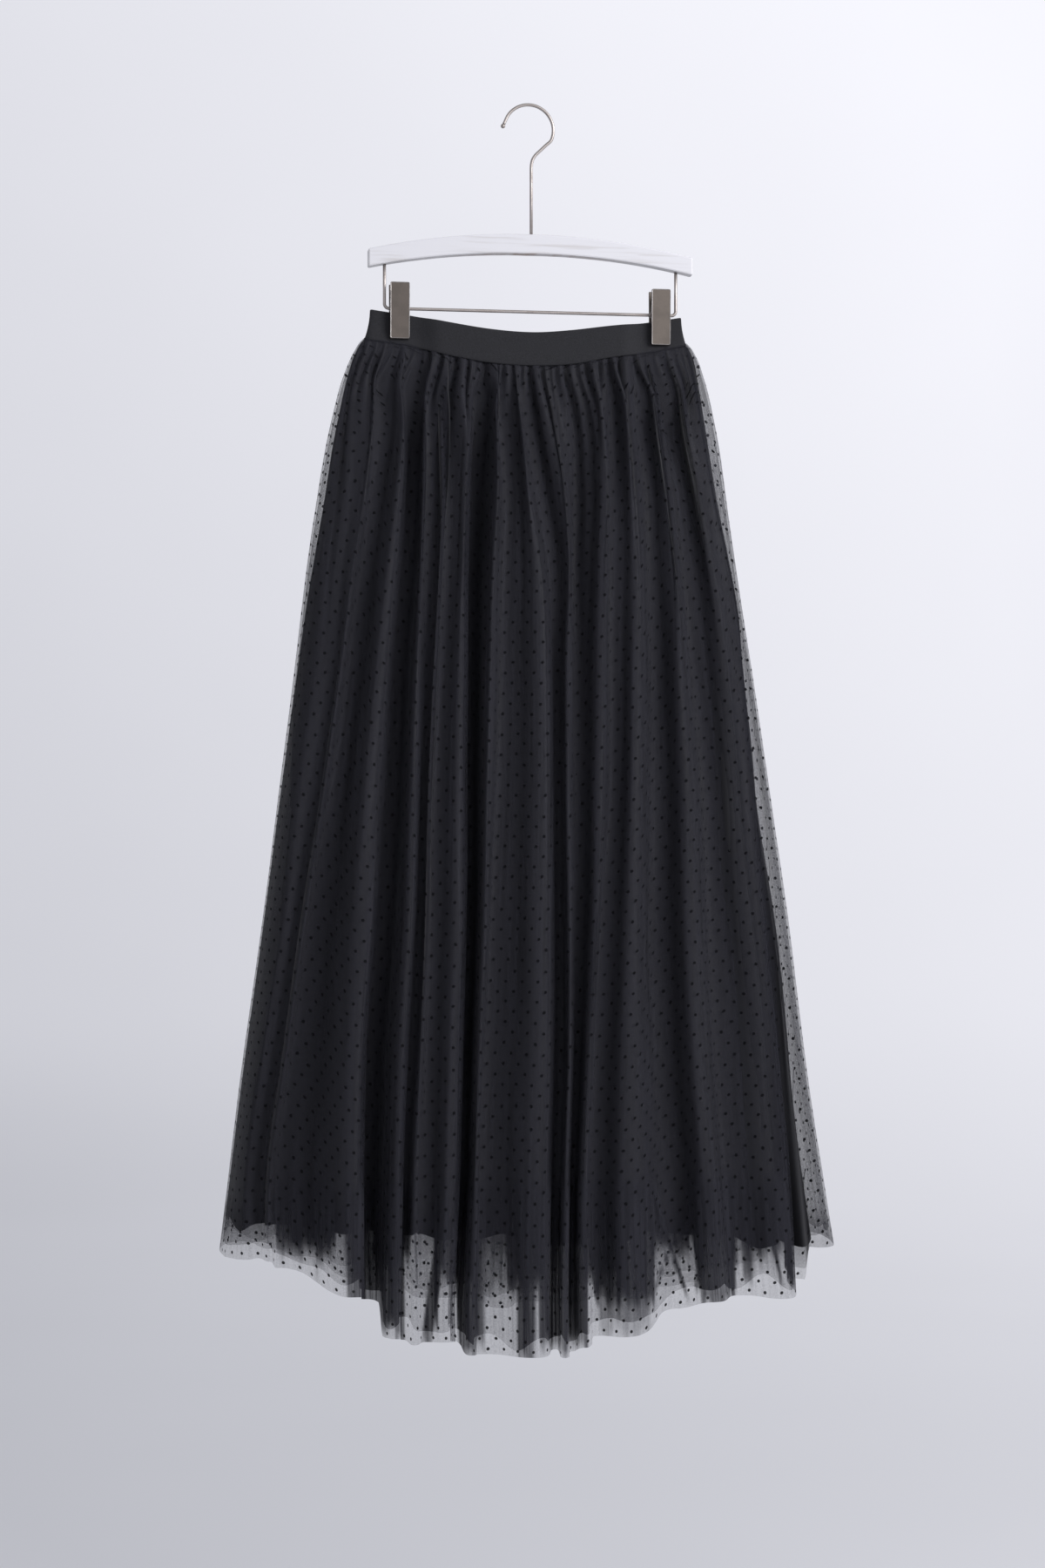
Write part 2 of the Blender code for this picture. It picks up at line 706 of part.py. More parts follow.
waistband()
for number, layer in enumerate(LAYERS):
    panel(number, FRONT_FOLDS, True, MATERIALS[layer.name])
    panel(number, BACK_FOLDS, False, MATERIALS[layer.name])
hanger_bar()
hook()
clip_rod()
clip("left")
clip("right")
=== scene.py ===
# %% [markdown]
# # A dotted tulle skirt on a clip hanger
# A gathered maxi skirt hangs by its elastic waistband from two sprung clips. It has three layers: dotted
# tulle outside, plain tulle under it, and a shorter opaque lining. Tulle is a net, so wherever the lining
# stops, the light comes through. The cloth is remade here as thin sheets with real folds. The hanger's
# bar and the clips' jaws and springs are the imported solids; the hook and the rod are redrawn with finer
# bends, and each clip gets its pressed face.
# The frame loads first, because every piece takes its place from it.

import math
import random
from collections import namedtuple

import bmesh
import bpy
import numpy as np
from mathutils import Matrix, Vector


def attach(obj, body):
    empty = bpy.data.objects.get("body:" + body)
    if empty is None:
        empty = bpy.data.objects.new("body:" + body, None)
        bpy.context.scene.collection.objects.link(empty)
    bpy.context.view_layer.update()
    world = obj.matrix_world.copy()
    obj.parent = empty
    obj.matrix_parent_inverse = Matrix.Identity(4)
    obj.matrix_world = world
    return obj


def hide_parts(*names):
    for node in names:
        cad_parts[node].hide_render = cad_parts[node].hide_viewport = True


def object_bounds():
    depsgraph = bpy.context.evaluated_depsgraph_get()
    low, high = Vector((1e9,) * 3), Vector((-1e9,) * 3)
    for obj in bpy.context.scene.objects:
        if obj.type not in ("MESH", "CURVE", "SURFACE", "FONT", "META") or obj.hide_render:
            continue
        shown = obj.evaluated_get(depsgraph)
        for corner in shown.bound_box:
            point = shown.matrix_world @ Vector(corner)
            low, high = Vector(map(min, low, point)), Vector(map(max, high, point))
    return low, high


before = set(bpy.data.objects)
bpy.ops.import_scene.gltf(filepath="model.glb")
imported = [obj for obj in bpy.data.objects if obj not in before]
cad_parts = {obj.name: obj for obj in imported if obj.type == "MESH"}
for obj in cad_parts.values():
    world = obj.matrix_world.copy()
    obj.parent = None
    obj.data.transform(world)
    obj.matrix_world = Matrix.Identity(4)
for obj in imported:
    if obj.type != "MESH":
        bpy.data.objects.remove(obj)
cad_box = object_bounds()
MM = 0.001
scene = bpy.context.scene
print("CAD nodes:", ", ".join(sorted(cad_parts)))

# %% [markdown]
# Every piece here starts as a bmesh, which is shaped with operators and then turned into an object. That
# last step is always the same, so it is one helper.

# %% Finish a mesh
def finished(name, shell, smooth=True):
    """The object made from a bmesh, linked into the scene, with all its faces smooth or as they are."""
    mesh = bpy.data.meshes.new(name)
    shell.to_mesh(mesh)
    shell.free()
    if smooth:
        mesh.polygons.foreach_set("use_smooth", [True] * len(mesh.polygons))
    made = bpy.data.objects.new(name, mesh)
    scene.collection.objects.link(made)
    return made


# %% [markdown]
# ## Studio
# The skirt hangs in front of a pale sweep: a floor that turns up into a wall all round, far enough away
# that any view of the skirt is taken from inside it. A bowl is easiest as one outline spun a full turn.
# It takes no part in shadows, so the sky's soft light reaches the skirt as from a big white tent.

# %% Pale sweep
FLOOR_Z = -2.1
SWEEP_FLAT = 6.0
SWEEP_BEND = 3.5
SWEEP_HEIGHT = 9.0
SWEEP_STEPS = 14


def sweep():
    """The floor and the wall round it: an outline from the middle of the floor, spun about Z."""
    outline = [(0.0, 0.0), (SWEEP_FLAT * 0.5, 0.0)]
    for step in range(SWEEP_STEPS + 1):
        angle = math.pi / 2 * step / SWEEP_STEPS
        outline.append((SWEEP_FLAT + SWEEP_BEND * math.sin(angle), SWEEP_BEND * (1 - math.cos(angle))))
    outline.append((SWEEP_FLAT + SWEEP_BEND, SWEEP_HEIGHT))
    shell = bmesh.new()
    corners = [shell.verts.new((x, 0.0, FLOOR_Z + z)) for x, z in outline]
    edges = [shell.edges.new(pair) for pair in zip(corners, corners[1:])]
    bmesh.ops.spin(
        shell,
        geom=corners + edges,
        cent=(0, 0, 0),
        axis=(0, 0, 1),
        angle=2 * math.pi,
        steps=96,
        use_merge=True,
    )
    bmesh.ops.remove_doubles(shell, verts=shell.verts, dist=1e-5)
    bmesh.ops.recalc_face_normals(shell, faces=shell.faces)
    bmesh.ops.reverse_faces(shell, faces=shell.faces)
    made = finished("sweep", shell)
    made.visible_shadow = False
    made.visible_diffuse = False
    return made


backdrop = sweep()

# %% [markdown]
# Materials are node trees. These helpers keep the trees short to read: one makes a node and sets its
# sockets, and the others make the small sums that a pattern needs.


# %% Node helpers
def node(tree, kind, **settings):
    """A new node. Settings that name a socket, with spaces as underscores, set or link that socket."""
    made = tree.nodes.new(kind)
    for name, value in settings.items():
        if hasattr(made, name):
            setattr(made, name, value)
            continue
        wanted = name.replace("_", " ")
        socket = next(s for s in made.inputs if s.name.lower() == wanted.lower())
        if isinstance(value, bpy.types.NodeSocket):
            tree.links.new(value, socket)
        else:
            socket.default_value = value
    return made


def sums(tree, operation, *values, clamp=False):
    """A Math node on up to three numbers or sockets, and its result."""
    made = tree.nodes.new("ShaderNodeMath")
    made.operation = operation
    made.use_clamp = clamp
    for socket, value in zip(made.inputs, values):
        if isinstance(value, bpy.types.NodeSocket):
            tree.links.new(value, socket)
        else:
            socket.default_value = value
    return made.outputs[0]


def spread(tree, value, low, high, to_low=0.0, to_high=1.0, kind="SMOOTHSTEP"):
    """A number taken from one range to another."""
    made = tree.nodes.new("ShaderNodeMapRange")
    made.interpolation_type = kind
    tree.links.new(value, made.inputs["Value"])
    for name, number in (("From Min", low), ("From Max", high), ("To Min", to_low), ("To Max", to_high)):
        if isinstance(number, bpy.types.NodeSocket):
            tree.links.new(number, made.inputs[name])
        else:
            made.inputs[name].default_value = number
    return made.outputs["Result"]


def blend_colour(tree, share, first, second):
    """A colour between two, by a mask."""
    made = tree.nodes.new("ShaderNodeMix")
    made.data_type = "RGBA"
    tree.links.new(share, made.inputs["Factor"])
    for name, colour in (("A", first), ("B", second)):
        socket = next(s for s in made.inputs if s.name == name and s.type == "RGBA")
        if isinstance(colour, bpy.types.NodeSocket):
            tree.links.new(colour, socket)
        else:
            socket.default_value = (*colour, 1.0)
    return next(s for s in made.outputs if s.type == "RGBA")


def stretched_noise(tree, place, stretch, detail):
    """Noise drawn out along the grain or the threads: stretch is how fine it is each way."""
    made = node(tree, "ShaderNodeMapping", Vector=place, Scale=stretch)
    return node(tree, "ShaderNodeTexNoise", Scale=1.0, Detail=detail, Vector=made.outputs[0]).outputs["Fac"]


def new_group(name, inputs, outputs):
    """A shader node group with named sockets. inputs and outputs are (name, kind, value) rows."""
    tree = bpy.data.node_groups.new(name, "ShaderNodeTree")
    for in_out, rows in (("INPUT", inputs), ("OUTPUT", outputs)):
        for label, kind, value in rows:
            socket = tree.interface.new_socket(name=label, in_out=in_out, socket_type=f"NodeSocket{kind}")
            if value is not None:
                socket.default_value = value
    start = tree.nodes.new("NodeGroupInput")
    end = tree.nodes.new("NodeGroupOutput")
    return tree, start.outputs, end.inputs


def use_group(tree, group, **values):
    """A group placed in a material's tree."""
    made = tree.nodes.new("ShaderNodeGroup")
    made.node_tree = group
    for name, value in values.items():
        socket = made.inputs[name.replace("_", " ")]
        if isinstance(value, bpy.types.NodeSocket):
            tree.links.new(value, socket)
        else:
            socket.default_value = value
    return made.outputs


def new_material(name, **sockets):
    """A material with a Principled BSDF. Its plain sockets are set by name, with spaces as underscores."""
    made = bpy.data.materials.new(name)
    made.use_nodes = True
    shader = made.node_tree.nodes["Principled BSDF"]
    for label, value in sockets.items():
        shader.inputs[label.replace("_", " ")].default_value = value
    return made, made.node_tree, shader.inputs


def join(tree, source, socket):
    tree.links.new(source, socket)


# %% [markdown]
# The wall is matt paint, and its glow is painted light: a little brighter towards the window on the right
# and near the top, with a very faint unevenness, and painted shade low on the floor at the left. Its colour
# runs with the place on the wall, so it holds in every view.

# %% Sweep paint and painted light
WALL_PAINT = (0.62, 0.62, 0.64)
# Painted light: the emission colours of the wall's glow, from its dim end to its bright end.
PAINTED_LIGHT_DIM = (0.155, 0.16, 0.19)
PAINTED_LIGHT_BRIGHT = (0.65, 0.65, 0.70)
# The painted light's run across and up the wall: from where, to where, and how much of it.
ACROSS = (-3.2, 3.4, 0.62)
UPWARD = (-2.6, 3.0, 0.40)
MOTTLE = 0.05
# Painted shade low on the floor and the foot of the wall, strongest on the left and nearest the skirt.
FLOOR_SHADE = 0.21
SHADE_HEIGHTS = (-2.2, -1.5)
SHADE_REACH = (2.0, 6.0)


def sweep_painted_light():
    made, tree, shader = new_material("matt_wall", Roughness=0.95, Emission_Strength=1.0)
    place = node(tree, "ShaderNodeSeparateXYZ", Vector=node(tree, "ShaderNodeTexCoord").outputs["Object"])
    across = spread(tree, place.outputs["X"], *ACROSS[:2], kind="LINEAR")
    upward = spread(tree, place.outputs["Z"], *UPWARD[:2], kind="LINEAR")
    mottle = node(tree, "ShaderNodeTexNoise", Scale=0.7, Detail=2.0, Roughness=0.5)
    join(tree, node(tree, "ShaderNodeTexCoord").outputs["Object"], mottle.inputs["Vector"])
    # Painted light: the glow rises to the right and up the wall, with a faint mottle.
    light = sums(tree, "MULTIPLY_ADD", across, ACROSS[2], sums(tree, "MULTIPLY", upward, UPWARD[2]))
    light = sums(tree, "MULTIPLY_ADD", mottle.outputs["Fac"], MOTTLE, light)
    # Painted shade: darker low down, most on the left and nearest the skirt.
    low = spread(tree, place.outputs["Z"], *SHADE_HEIGHTS, 1.0, 0.0)
    near = spread(tree, place.outputs["Y"], *SHADE_REACH, 1.0, 0.2, kind="LINEAR")
    away = sums(tree, "MULTIPLY_ADD", across, -0.9, 1.0)
    shade = sums(tree, "MULTIPLY", sums(tree, "MULTIPLY", low, FLOOR_SHADE), sums(tree, "ADD", near, away))
    light = sums(tree, "SUBTRACT", light, shade, clamp=True)
    # The painted light and shade go into the emission colour, so the wall glows.
    join(tree, blend_colour(tree, light, PAINTED_LIGHT_DIM, PAINTED_LIGHT_BRIGHT), shader["Emission Color"])
    grain = blend_colour(tree, mottle.outputs["Fac"], WALL_PAINT, tuple(1.04 * v for v in WALL_PAINT))
    join(tree, grain, shader["Base Color"])
    return made


backdrop.data.materials.append(sweep_painted_light())

# %% [markdown]
# ## Light and camera
# One large soft box stands high on the right, in front of the skirt, and a bare white sky fills the rest.
# That leaves each fold lit on its right side and dark in its depth. The camera is level, a little to the
# left of the skirt, 2.7 m away.

# %% Light and camera
SKY = 0.425
SKY_TINT = (0.97, 0.98, 1.0, 1.0)
SOFT_BOX = {"at": (2.3, -2.3, 0.9), "aim": (0.0, 0.0, -0.7), "size": 1.7, "power": 92.0}
CAMERA_AT = (-0.4077393, -2.6690495, -0.6804875)
CAMERA_TURN = -8.5
FOCAL_LENGTH = 61.71


def soft_box(name, at, aim, size, power):
    light = bpy.data.lights.new(name, "AREA")
    light.shape = "SQUARE"
    light.size = size
    light.energy = power
    made = bpy.data.objects.new(name, light)
    made.location = at
    made.rotation_euler = (Vector(aim) - Vector(at)).to_track_quat("-Z", "Y").to_euler()
    scene.collection.objects.link(made)
    return made


sky = bpy.data.worlds.new("white_sky")
sky.use_nodes = True
sky.node_tree.nodes["Background"].inputs["Color"].default_value = SKY_TINT
sky.node_tree.nodes["Background"].inputs["Strength"].default_value = SKY
scene.world = sky
soft_box("key_box", **SOFT_BOX)

lens = bpy.data.cameras.new("camera")
lens.lens = FOCAL_LENGTH
lens.clip_end = 200.0
camera = bpy.data.objects.new("camera", lens)
camera.location = CAMERA_AT
camera.rotation_euler = (math.radians(90.0), 0.0, math.radians(CAMERA_TURN))
scene.collection.objects.link(camera)
scene.camera = camera
scene.view_settings.view_transform = "Standard"
scene.view_settings.look = "None"
scene.cycles.transparent_max_bounces = 24
print("camera is", round(math.dist(camera.location, (0, 0, -0.7)), 2), "m from the skirt")

# %% [markdown]
# ## The folds
# A gathered skirt is one long strip of cloth pushed into a short band, so its level section is a wave:
# round ridges and narrow troughs. The folds could be left to a cloth simulation, but then they would fall
# where they liked. Here each ridge and trough is a line that runs from the band to the hem, and a table
# says how far across it lies at ten heights. Between a ridge and the trough beside it the cloth is one
# S-curve; where its two handles are longer than the step between them, the ridge hangs over the trough.

# %% Fold tables
LEVELS = (-273, -317, -387, -465, -560, -680, -808, -934, -1058, -1182)

# depth: a trough's, at the hem. early: how soon it is deep (1 as the rest, less is sooner). over_left,
# over_right: how far a ridge hangs over its neighbours. hem: the height of the hem there. across: its
# place at each of LEVELS.
Fold = namedtuple("Fold", "depth early over_left over_right hem across")


def ridge(over_left, over_right, hem, *across):
    return Fold(0, 1.0, over_left, over_right, hem, across)


def trough(depth, early, hem, *across):
    return Fold(depth, early, 0.0, 0.0, hem, across)


FRONT_FOLDS = (
    ridge(0.0, 0.0, -1136, -182, -189, -196, -205, -214, -231, -248, -268, -285, -290),
    trough(10, 1.0, -1135, -171, -178, -184, -194, -201, -220, -238, -258, -275, -279),
    ridge(0.0, 0.12, -1136, -159, -162, -171, -183, -195, -212, -232, -250, -267, -269),
    trough(26, 0.8, -1146, -145, -148, -159, -171, -183, -200, -223, -241, -257, -260),
    ridge(0.0, 0.40, -1168, -134, -132, -138, -148, -159, -171, -179, -186, -189, -190),
    trough(44, 0.9, -1178, -121, -121, -124, -129, -136, -144, -154, -168, -174, -174),
    ridge(0.1, 0.40, -1208, -108, -110, -112, -116, -122, -127, -133, -141, -146, -149),
    trough(17, 0.8, -1212, -96, -97, -100, -103, -108, -115, -120, -130, -138, -141),
    ridge(0.1, 0.1, -1214, -91, -92, -94, -98, -104, -111, -115, -122, -130, -132),
    trough(14, 0.8, -1214, -83, -83, -85, -89, -96, -103, -109, -114, -119, -120),
    ridge(0.0, 0.35, -1212, -69, -67, -71, -75, -79, -84, -87, -93, -98, -103),
    trough(42, 0.45, -1219, -48, -50, -59, -65, -67, -68, -70, -75, -79, -89),
    ridge(0.15, 0.1, -1225, -38, -39, -38, -43, -48, -54, -59, -66, -71, -77),
    trough(24, 0.7, -1229, -28, -26, -23, -28, -33, -39, -47, -55, -62, -67),
    ridge(0.15, 0.35, -1229, -18, -14, -8, 0, 2, 1, -3, -7, -11, -13),
    trough(26, 1.0, -1227, -7, -2, 10, 21, 20, 19, 18, 17, 12, 8),
    ridge(0.2, 0.1, -1230, 12, 19, 28, 31, 27, 25, 24, 22, 17, 13),
    trough(24, 0.7, -1229, 35, 43, 45, 42, 41, 39, 36, 32, 26, 24),
    ridge(0.35, 0.15, -1221, 67, 70, 73, 68, 63, 58, 53, 43, 35, 33),
    trough(20, 0.7, -1214, 82, 83, 82, 77, 76, 74, 62, 53, 47, 46),
    ridge(0.15, 0.15, -1212, 93, 95, 98, 101, 96, 91, 85, 79, 73, 75),
    trough(28, 0.7, -1192, 111, 113, 118, 118, 121, 120, 117, 121, 129, 127),
    ridge(0.15, 0.2, -1182, 124, 128, 133, 138, 140, 145, 144, 146, 153, 159),
    trough(26, 0.7, -1182, 136, 139, 147, 154, 162, 174, 175, 179, 185, 191),
    ridge(0.1, 0.45, -1184, 153, 156, 167, 176, 188, 202, 211, 223, 232, 236),
    trough(36, 4.0, -1172, 166, 173, 186, 197, 209, 224, 231, 241, 250, 250),
    ridge(0.0, 0.0, -1139, 171, 179, 191, 202, 215, 231, 243, 257, 274, 281),
)
BACK_FOLDS = (
    ridge(0.0, 0.0, -1139, -180, -187, -196, -204, -214, -231, -247, -266, -284, -290),
    trough(22, 1.0, -1146, -163, -169, -178, -187, -196, -212, -226, -240, -255, -262),
    ridge(0.2, 0.2, -1160, -140, -146, -152, -160, -168, -180, -192, -208, -222, -226),
    trough(34, 0.8, -1178, -118, -120, -124, -130, -138, -146, -158, -168, -176, -180),
    ridge(0.3, 0.1, -1192, -99, -98, -99, -103, -109, -118, -124, -131, -138, -141),
    trough(26, 0.8, -1203, -78, -77, -78, -82, -87, -90, -94, -97, -99, -103),
    ridge(0.1, 0.3, -1209, -60, -58, -58, -58, -60, -63, -66, -66, -67, -66),
    trough(40, 0.6, -1213, -38, -36, -34, -35, -34, -33, -30, -30, -27, -25),
    ridge(0.3, 0.2, -1215, -16, -14, -13, -10, -7, -5, -2, 2, 6, 9),
    trough(24, 0.8, -1214, 6, 8, 12, 16, 22, 27, 32, 37, 43, 46),
    ridge(0.1, 0.25, -1212, 24, 27, 31, 36, 43, 51, 59, 67, 77, 83),
    trough(38, 0.7, -1208, 46, 49, 53, 60, 67, 76, 85, 97, 110, 118),
    ridge(0.3, 0.1, -1203, 66, 70, 77, 83, 90, 101, 112, 126, 140, 148),
    trough(28, 0.8, -1193, 89, 94, 101, 108, 115, 127, 139, 154, 168, 176),
    ridge(0.2, 0.25, -1184, 112, 117, 125, 132, 141, 154, 166, 181, 196, 204),
    trough(32, 0.9, -1171, 134, 139, 148, 156, 166, 180, 194, 209, 226, 235),
    ridge(0.1, 0.1, -1158, 151, 157, 167, 176, 187, 202, 217, 232, 249, 258),
    trough(14, 1.0, -1148, 164, 171, 182, 193, 205, 220, 236, 252, 266, 272),
    ridge(0.0, 0.0, -1141, 171, 179, 191, 202, 215, 231, 246, 262, 278, 285),
)

# The skirt's section from the seam (fall 0) to the hem (fall 1): its side edges, how far its front and
# back ridges stand from the plane of the side seams, that plane, and how deep the folds are.
Section = namedtuple("Section", "fall left right front back plane pinch fold")
SECTIONS = (
    Section(0.00, -167.5, 158.0, 10.0, 9.5, 0, 1.0, 0.04),
    Section(0.004, -171.5, 162.0, 13.2, 12.4, 0, 0.9, 0.06),
    Section(0.015, -178.0, 168.5, 17.2, 15.2, 0, 0.6, 0.12),
    Section(0.04, -188.0, 177.0, 22.0, 19.0, 0, 0.4, 0.24),
    Section(0.09, -200.5, 187.5, 30.0, 25.0, -1, 0.1, 0.40),
    Section(0.20, -218.5, 202.0, 43.0, 37.0, -3, 0, 0.48),
    Section(0.40, -241.5, 227.0, 62.0, 51.0, -6, 0, 0.62),
    Section(0.62, -267.0, 255.0, 84.0, 66.0, -11, 0, 0.76),
    Section(0.82, -292.0, 276.5, 100.0, 81.0, -15, 0, 0.88),
    Section(1.00, -312.0, 301.0, 112.0, 94.0, -18, 0, 1.0),
)

# The band's upper and lower edge, in front.
BandLine = namedtuple("BandLine", "x top foot")
BAND_LINE = (
    BandLine(-175, -207.4, -237.6),
    BandLine(-124, -213.8, -244.2),
    BandLine(-84, -220.2, -253.4),
    BandLine(-45, -225.5, -259.6),
    BandLine(5, -227.8, -261.8),
    BandLine(40, -224.9, -259.4),
    BandLine(80, -219.6, -251.6),
    BandLine(122, -214.5, -244.7),
    BandLine(145, -210.6, -239.9),
    BandLine(165, -207.6, -236.0),
)
CLIP_X = (-133.2, 131.4)
GRIP_FLAT = 16.0
GRIP_FADE = 24.0
GRIP_FOOT = 4.6  # half the depth that a clip leaves at the band's foot
print(len(FRONT_FOLDS), "ridges and troughs in front,", len(BACK_FOLDS), "behind")

# %% [markdown]
# A table gives a few places, and the cloth needs all of them. One helper runs a smooth curve through a
# row's values, and another reads a whole column of a table that way.


# %% Curves through tables
def soft(share):
    """0 to 1 with level ends, on arrays."""
    share = np.clip(share, 0.0, 1.0)
    return share * share * (3 - 2 * share)


def through(places, values, at):
    """A smooth curve through values at rising places, read at an array."""
    places = np.asarray(places, float)
    values = np.asarray(values, float)
    slopes = np.gradient(values, places)
    at = np.clip(at, places[0], places[-1])
    k = np.clip(np.searchsorted(places, at, side="right") - 1, 0, len(places) - 2)
    width = places[k + 1] - places[k]
    t = (at - places[k]) / width
    rise = (2 * t**3 - 3 * t**2 + 1) * values[k] + (3 * t**2 - 2 * t**3) * values[k + 1]
    return rise + ((t**3 - 2 * t**2 + t) * slopes[k] + (t**3 - t**2) * slopes[k + 1]) * width


def column(table, name, at):
    """The named column of a table, read at an array of its first column."""
    return through([row[0] for row in table], [getattr(row, name) for row in table], at)


def track(fold, z):
    """How far across a fold lies at the heights z."""
    return through([-level for level in LEVELS], fold.across, -np.asarray(z, float))


def flattened(x, left, right, base, grip, pinch):
    """Half the depth of the flattened skirt at x: full in the middle, round at the sides, shut at the
    clips."""
    share = np.minimum(np.abs(x - (left + right) / 2) / ((right - left) / 2), 1.0)
    full = base * (1 - share**3) ** (1 / 3)
    nearest = np.min([np.abs(x - at) for at in CLIP_X], axis=0)
    hold = 1 - soft((nearest - GRIP_FLAT) / GRIP_FADE)
    return full + (np.minimum(grip, full) - full) * hold * pinch


def form_half(x, left, right, fall, front):
    """Half the depth of the form that the folds are pressed into, at x, between the given sides."""
    base = column(SECTIONS, "front" if front else "back", fall)
    return flattened(x, left, right, base, GRIP_FOOT, column(SECTIONS, "pinch", fall))


# %% [markdown]
# ## One layer of cloth
# The sheet is a grid: its columns are threads that run down the skirt, and its rows are level sections.
# A section is worked out from the fold lines, and then each thread gets the small pleats of the gathering
# at the band, which die out at different lengths, and the fine creases that all net has. The inner layers
# are the same sheet moved in along its own normal, so they follow the outer one and never cut it.

# %% Fold lines
TUCK = 1.5  # the top edge runs this far up inside the band
LEAST_HALF = 0.8
SIDE_HEMS = (-1138.0, -1141.0)
SEAM_X = 0.93  # the band is read this much nearer the middle than the fold's first place
SEAM_DRAW = 0.075
SEAM_REACH = 0.05
FOLD_START = 0.25  # the share of its depth that a trough has at the seam
FOLD_REACH = 0.06
DEEPEST = 0.75  # no trough goes deeper than this share of the form


def fold_lines(folds, front, fall):
    """Each fold's place across and half depth at each fall, as arrays of falls by folds, and the heights
    of its top and hem. The two side edges come first and last."""
    fall = np.asarray(fall, float)[:, None]
    seam_x = np.array([[fold.across[0] for fold in folds]], float)
    top = column(BAND_LINE, "foot", seam_x * SEAM_X)
    hem = np.array([[fold.hem for fold in folds]], float)
    z = top + (hem - top) * fall
    x = np.stack([track(fold, z[:, k]) for k, fold in enumerate(folds)], axis=1)
    # At the seam every fold starts a little nearer the middle, where the band gathers it.
    x = x * (1 - SEAM_DRAW * (1 - soft(fall / SEAM_REACH)))
    left = column(SECTIONS, "left", fall)
    right = column(SECTIONS, "right", fall)
    half = form_half(x, left, right, fall, front)
    depth = np.array([[fold.depth for fold in folds]], float)
    early = np.array([[fold.early for fold in folds]], float)
    begun = FOLD_START + (1 - FOLD_START) * soft(fall / FOLD_REACH)
    deep = depth * column(SECTIONS, "fold", fall) ** early * begun
    half = np.maximum(half - np.minimum(deep, DEEPEST * half), LEAST_HALF)
    edge = np.zeros_like(fall)  # front and back meet at the side seam
    tops = np.concatenate([[BAND_LINE[0].foot], top[0], [BAND_LINE[-1].foot]])
    hems = np.concatenate([SIDE_HEMS[:1], hem[0], SIDE_HEMS[1:]])
    return np.concatenate([left, x, right], axis=1), np.concatenate([edge, half, edge], axis=1), tops, hems


# %% [markdown]
# From one fold line to the next the section is a cubic curve. Its handles lie level, so ridges and troughs
# come out round, and a ridge that hangs over gets longer ones. Where the hem steps by more than a pleat's
# width, one fold ends in front of the next, so the step is kept sharp.

# %% Sections
HANDLE_OUT = 0.55
HANDLE_IN = 0.45
OVER_BACK = 0.35  # how much of an overhang the handle at the curve's far end takes
OVER_REACH = 0.35
SIDE_HANDLE = 0.6
HEM_STEP = 24
STEP_FROM = 0.42
STEP_WIDTH = 0.16


def section_curves(folds, front, fall, steps):
    """The level sections as points: x and half depth, falls by columns, and each column's top and hem."""
    x, half, tops, hems = fold_lines(folds, front, fall)
    growth = soft(np.asarray(fall) / OVER_REACH)[:, None]
    t = np.linspace(0.0, 1.0, steps + 1)[None, :]
    over_left = [0.0] + [fold.over_left for fold in folds] + [0.0]
    over_right = [0.0] + [fold.over_right for fold in folds] + [0.0]
    runs_x, runs_half, run_tops, run_hems = [], [], [], []
    last = x.shape[1] - 2
    for k in range(last + 1):
        x0, x1 = x[:, k : k + 1], x[:, k + 1 : k + 2]
        h0, h1 = half[:, k : k + 1], half[:, k + 1 : k + 2]
        step = np.abs(x1 - x0)
        fall_in = np.abs(h1 - h0)
        near = HANDLE_OUT * step + over_right[k] * fall_in * growth
        far = HANDLE_IN * step + OVER_BACK * over_right[k] * fall_in * growth
        near = near + OVER_BACK * over_left[k + 1] * fall_in * growth
        far = far + over_left[k + 1] * fall_in * growth
        ax, ah = x0 + near, h0
        bx, bh = x1 - far, h1
        # At the sides the cloth turns round to the other panel, so the handle runs straight back.
        if k == 0:
            ax, ah = x0, h0 + SIDE_HANDLE * (h1 - h0)
        if k == last:
            bx, bh = x1, h1 + SIDE_HANDLE * (h0 - h1)
        w0, w1, w2, w3 = (1 - t) ** 3, 3 * (1 - t) ** 2 * t, 3 * (1 - t) * t**2, t**3
        keep = slice(0, steps) if k < last else slice(0, steps + 1)
        runs_x.append((w0 * x0 + w1 * ax + w2 * bx + w3 * x1)[:, keep])
        runs_half.append((w0 * h0 + w1 * ah + w2 * bh + w3 * h1)[:, keep])
        share = soft(t[0, keep])
        run_tops.append(tops[k] + (tops[k + 1] - tops[k]) * share)
        if abs(hems[k + 1] - hems[k]) > HEM_STEP:
            share = soft((t[0, keep] - STEP_FROM) / STEP_WIDTH)
        run_hems.append(hems[k] + (hems[k + 1] - hems[k]) * share)
    x = np.concatenate(runs_x, axis=1)
    half = np.concatenate(runs_half, axis=1)
    return x, half, np.concatenate(run_tops), np.concatenate(run_hems)


def outward(x, half):
    """The unit normal of each section, pointing out of the skirt, as its x and half-depth shares."""
    along_x = np.gradient(x, axis=1)
    along_half = np.gradient(half, axis=1)
    size = np.sqrt(along_x**2 + along_half**2) + 1e-9
    return -along_half / size, along_x / size


def arc_length(x, half):
    """Distance along each section from its left end, in millimetres."""
    run = np.sqrt(np.diff(x, axis=1) ** 2 + np.diff(half, axis=1) ** 2)
    return np.concatenate([np.zeros((len(x), 1)), np.cumsum(run, axis=1)], axis=1)


# %% [markdown]
# The gathers at the band come from the stitches that pull the cloth in, ten to seventeen millimetres
# apart. The creases are sums of slow waves with drifting phases: no two alike, but the same on each run.

# %% Small pleats and creases
GATHERS_FRONT = 36
GATHERS_BACK = 32
GATHER_DEPTH = (4.5, 9.0)
GATHER_LENGTHS = (0.08, 0.12, 0.16, 0.24, 0.34, 0.46)
CREASE_WAVES = 9


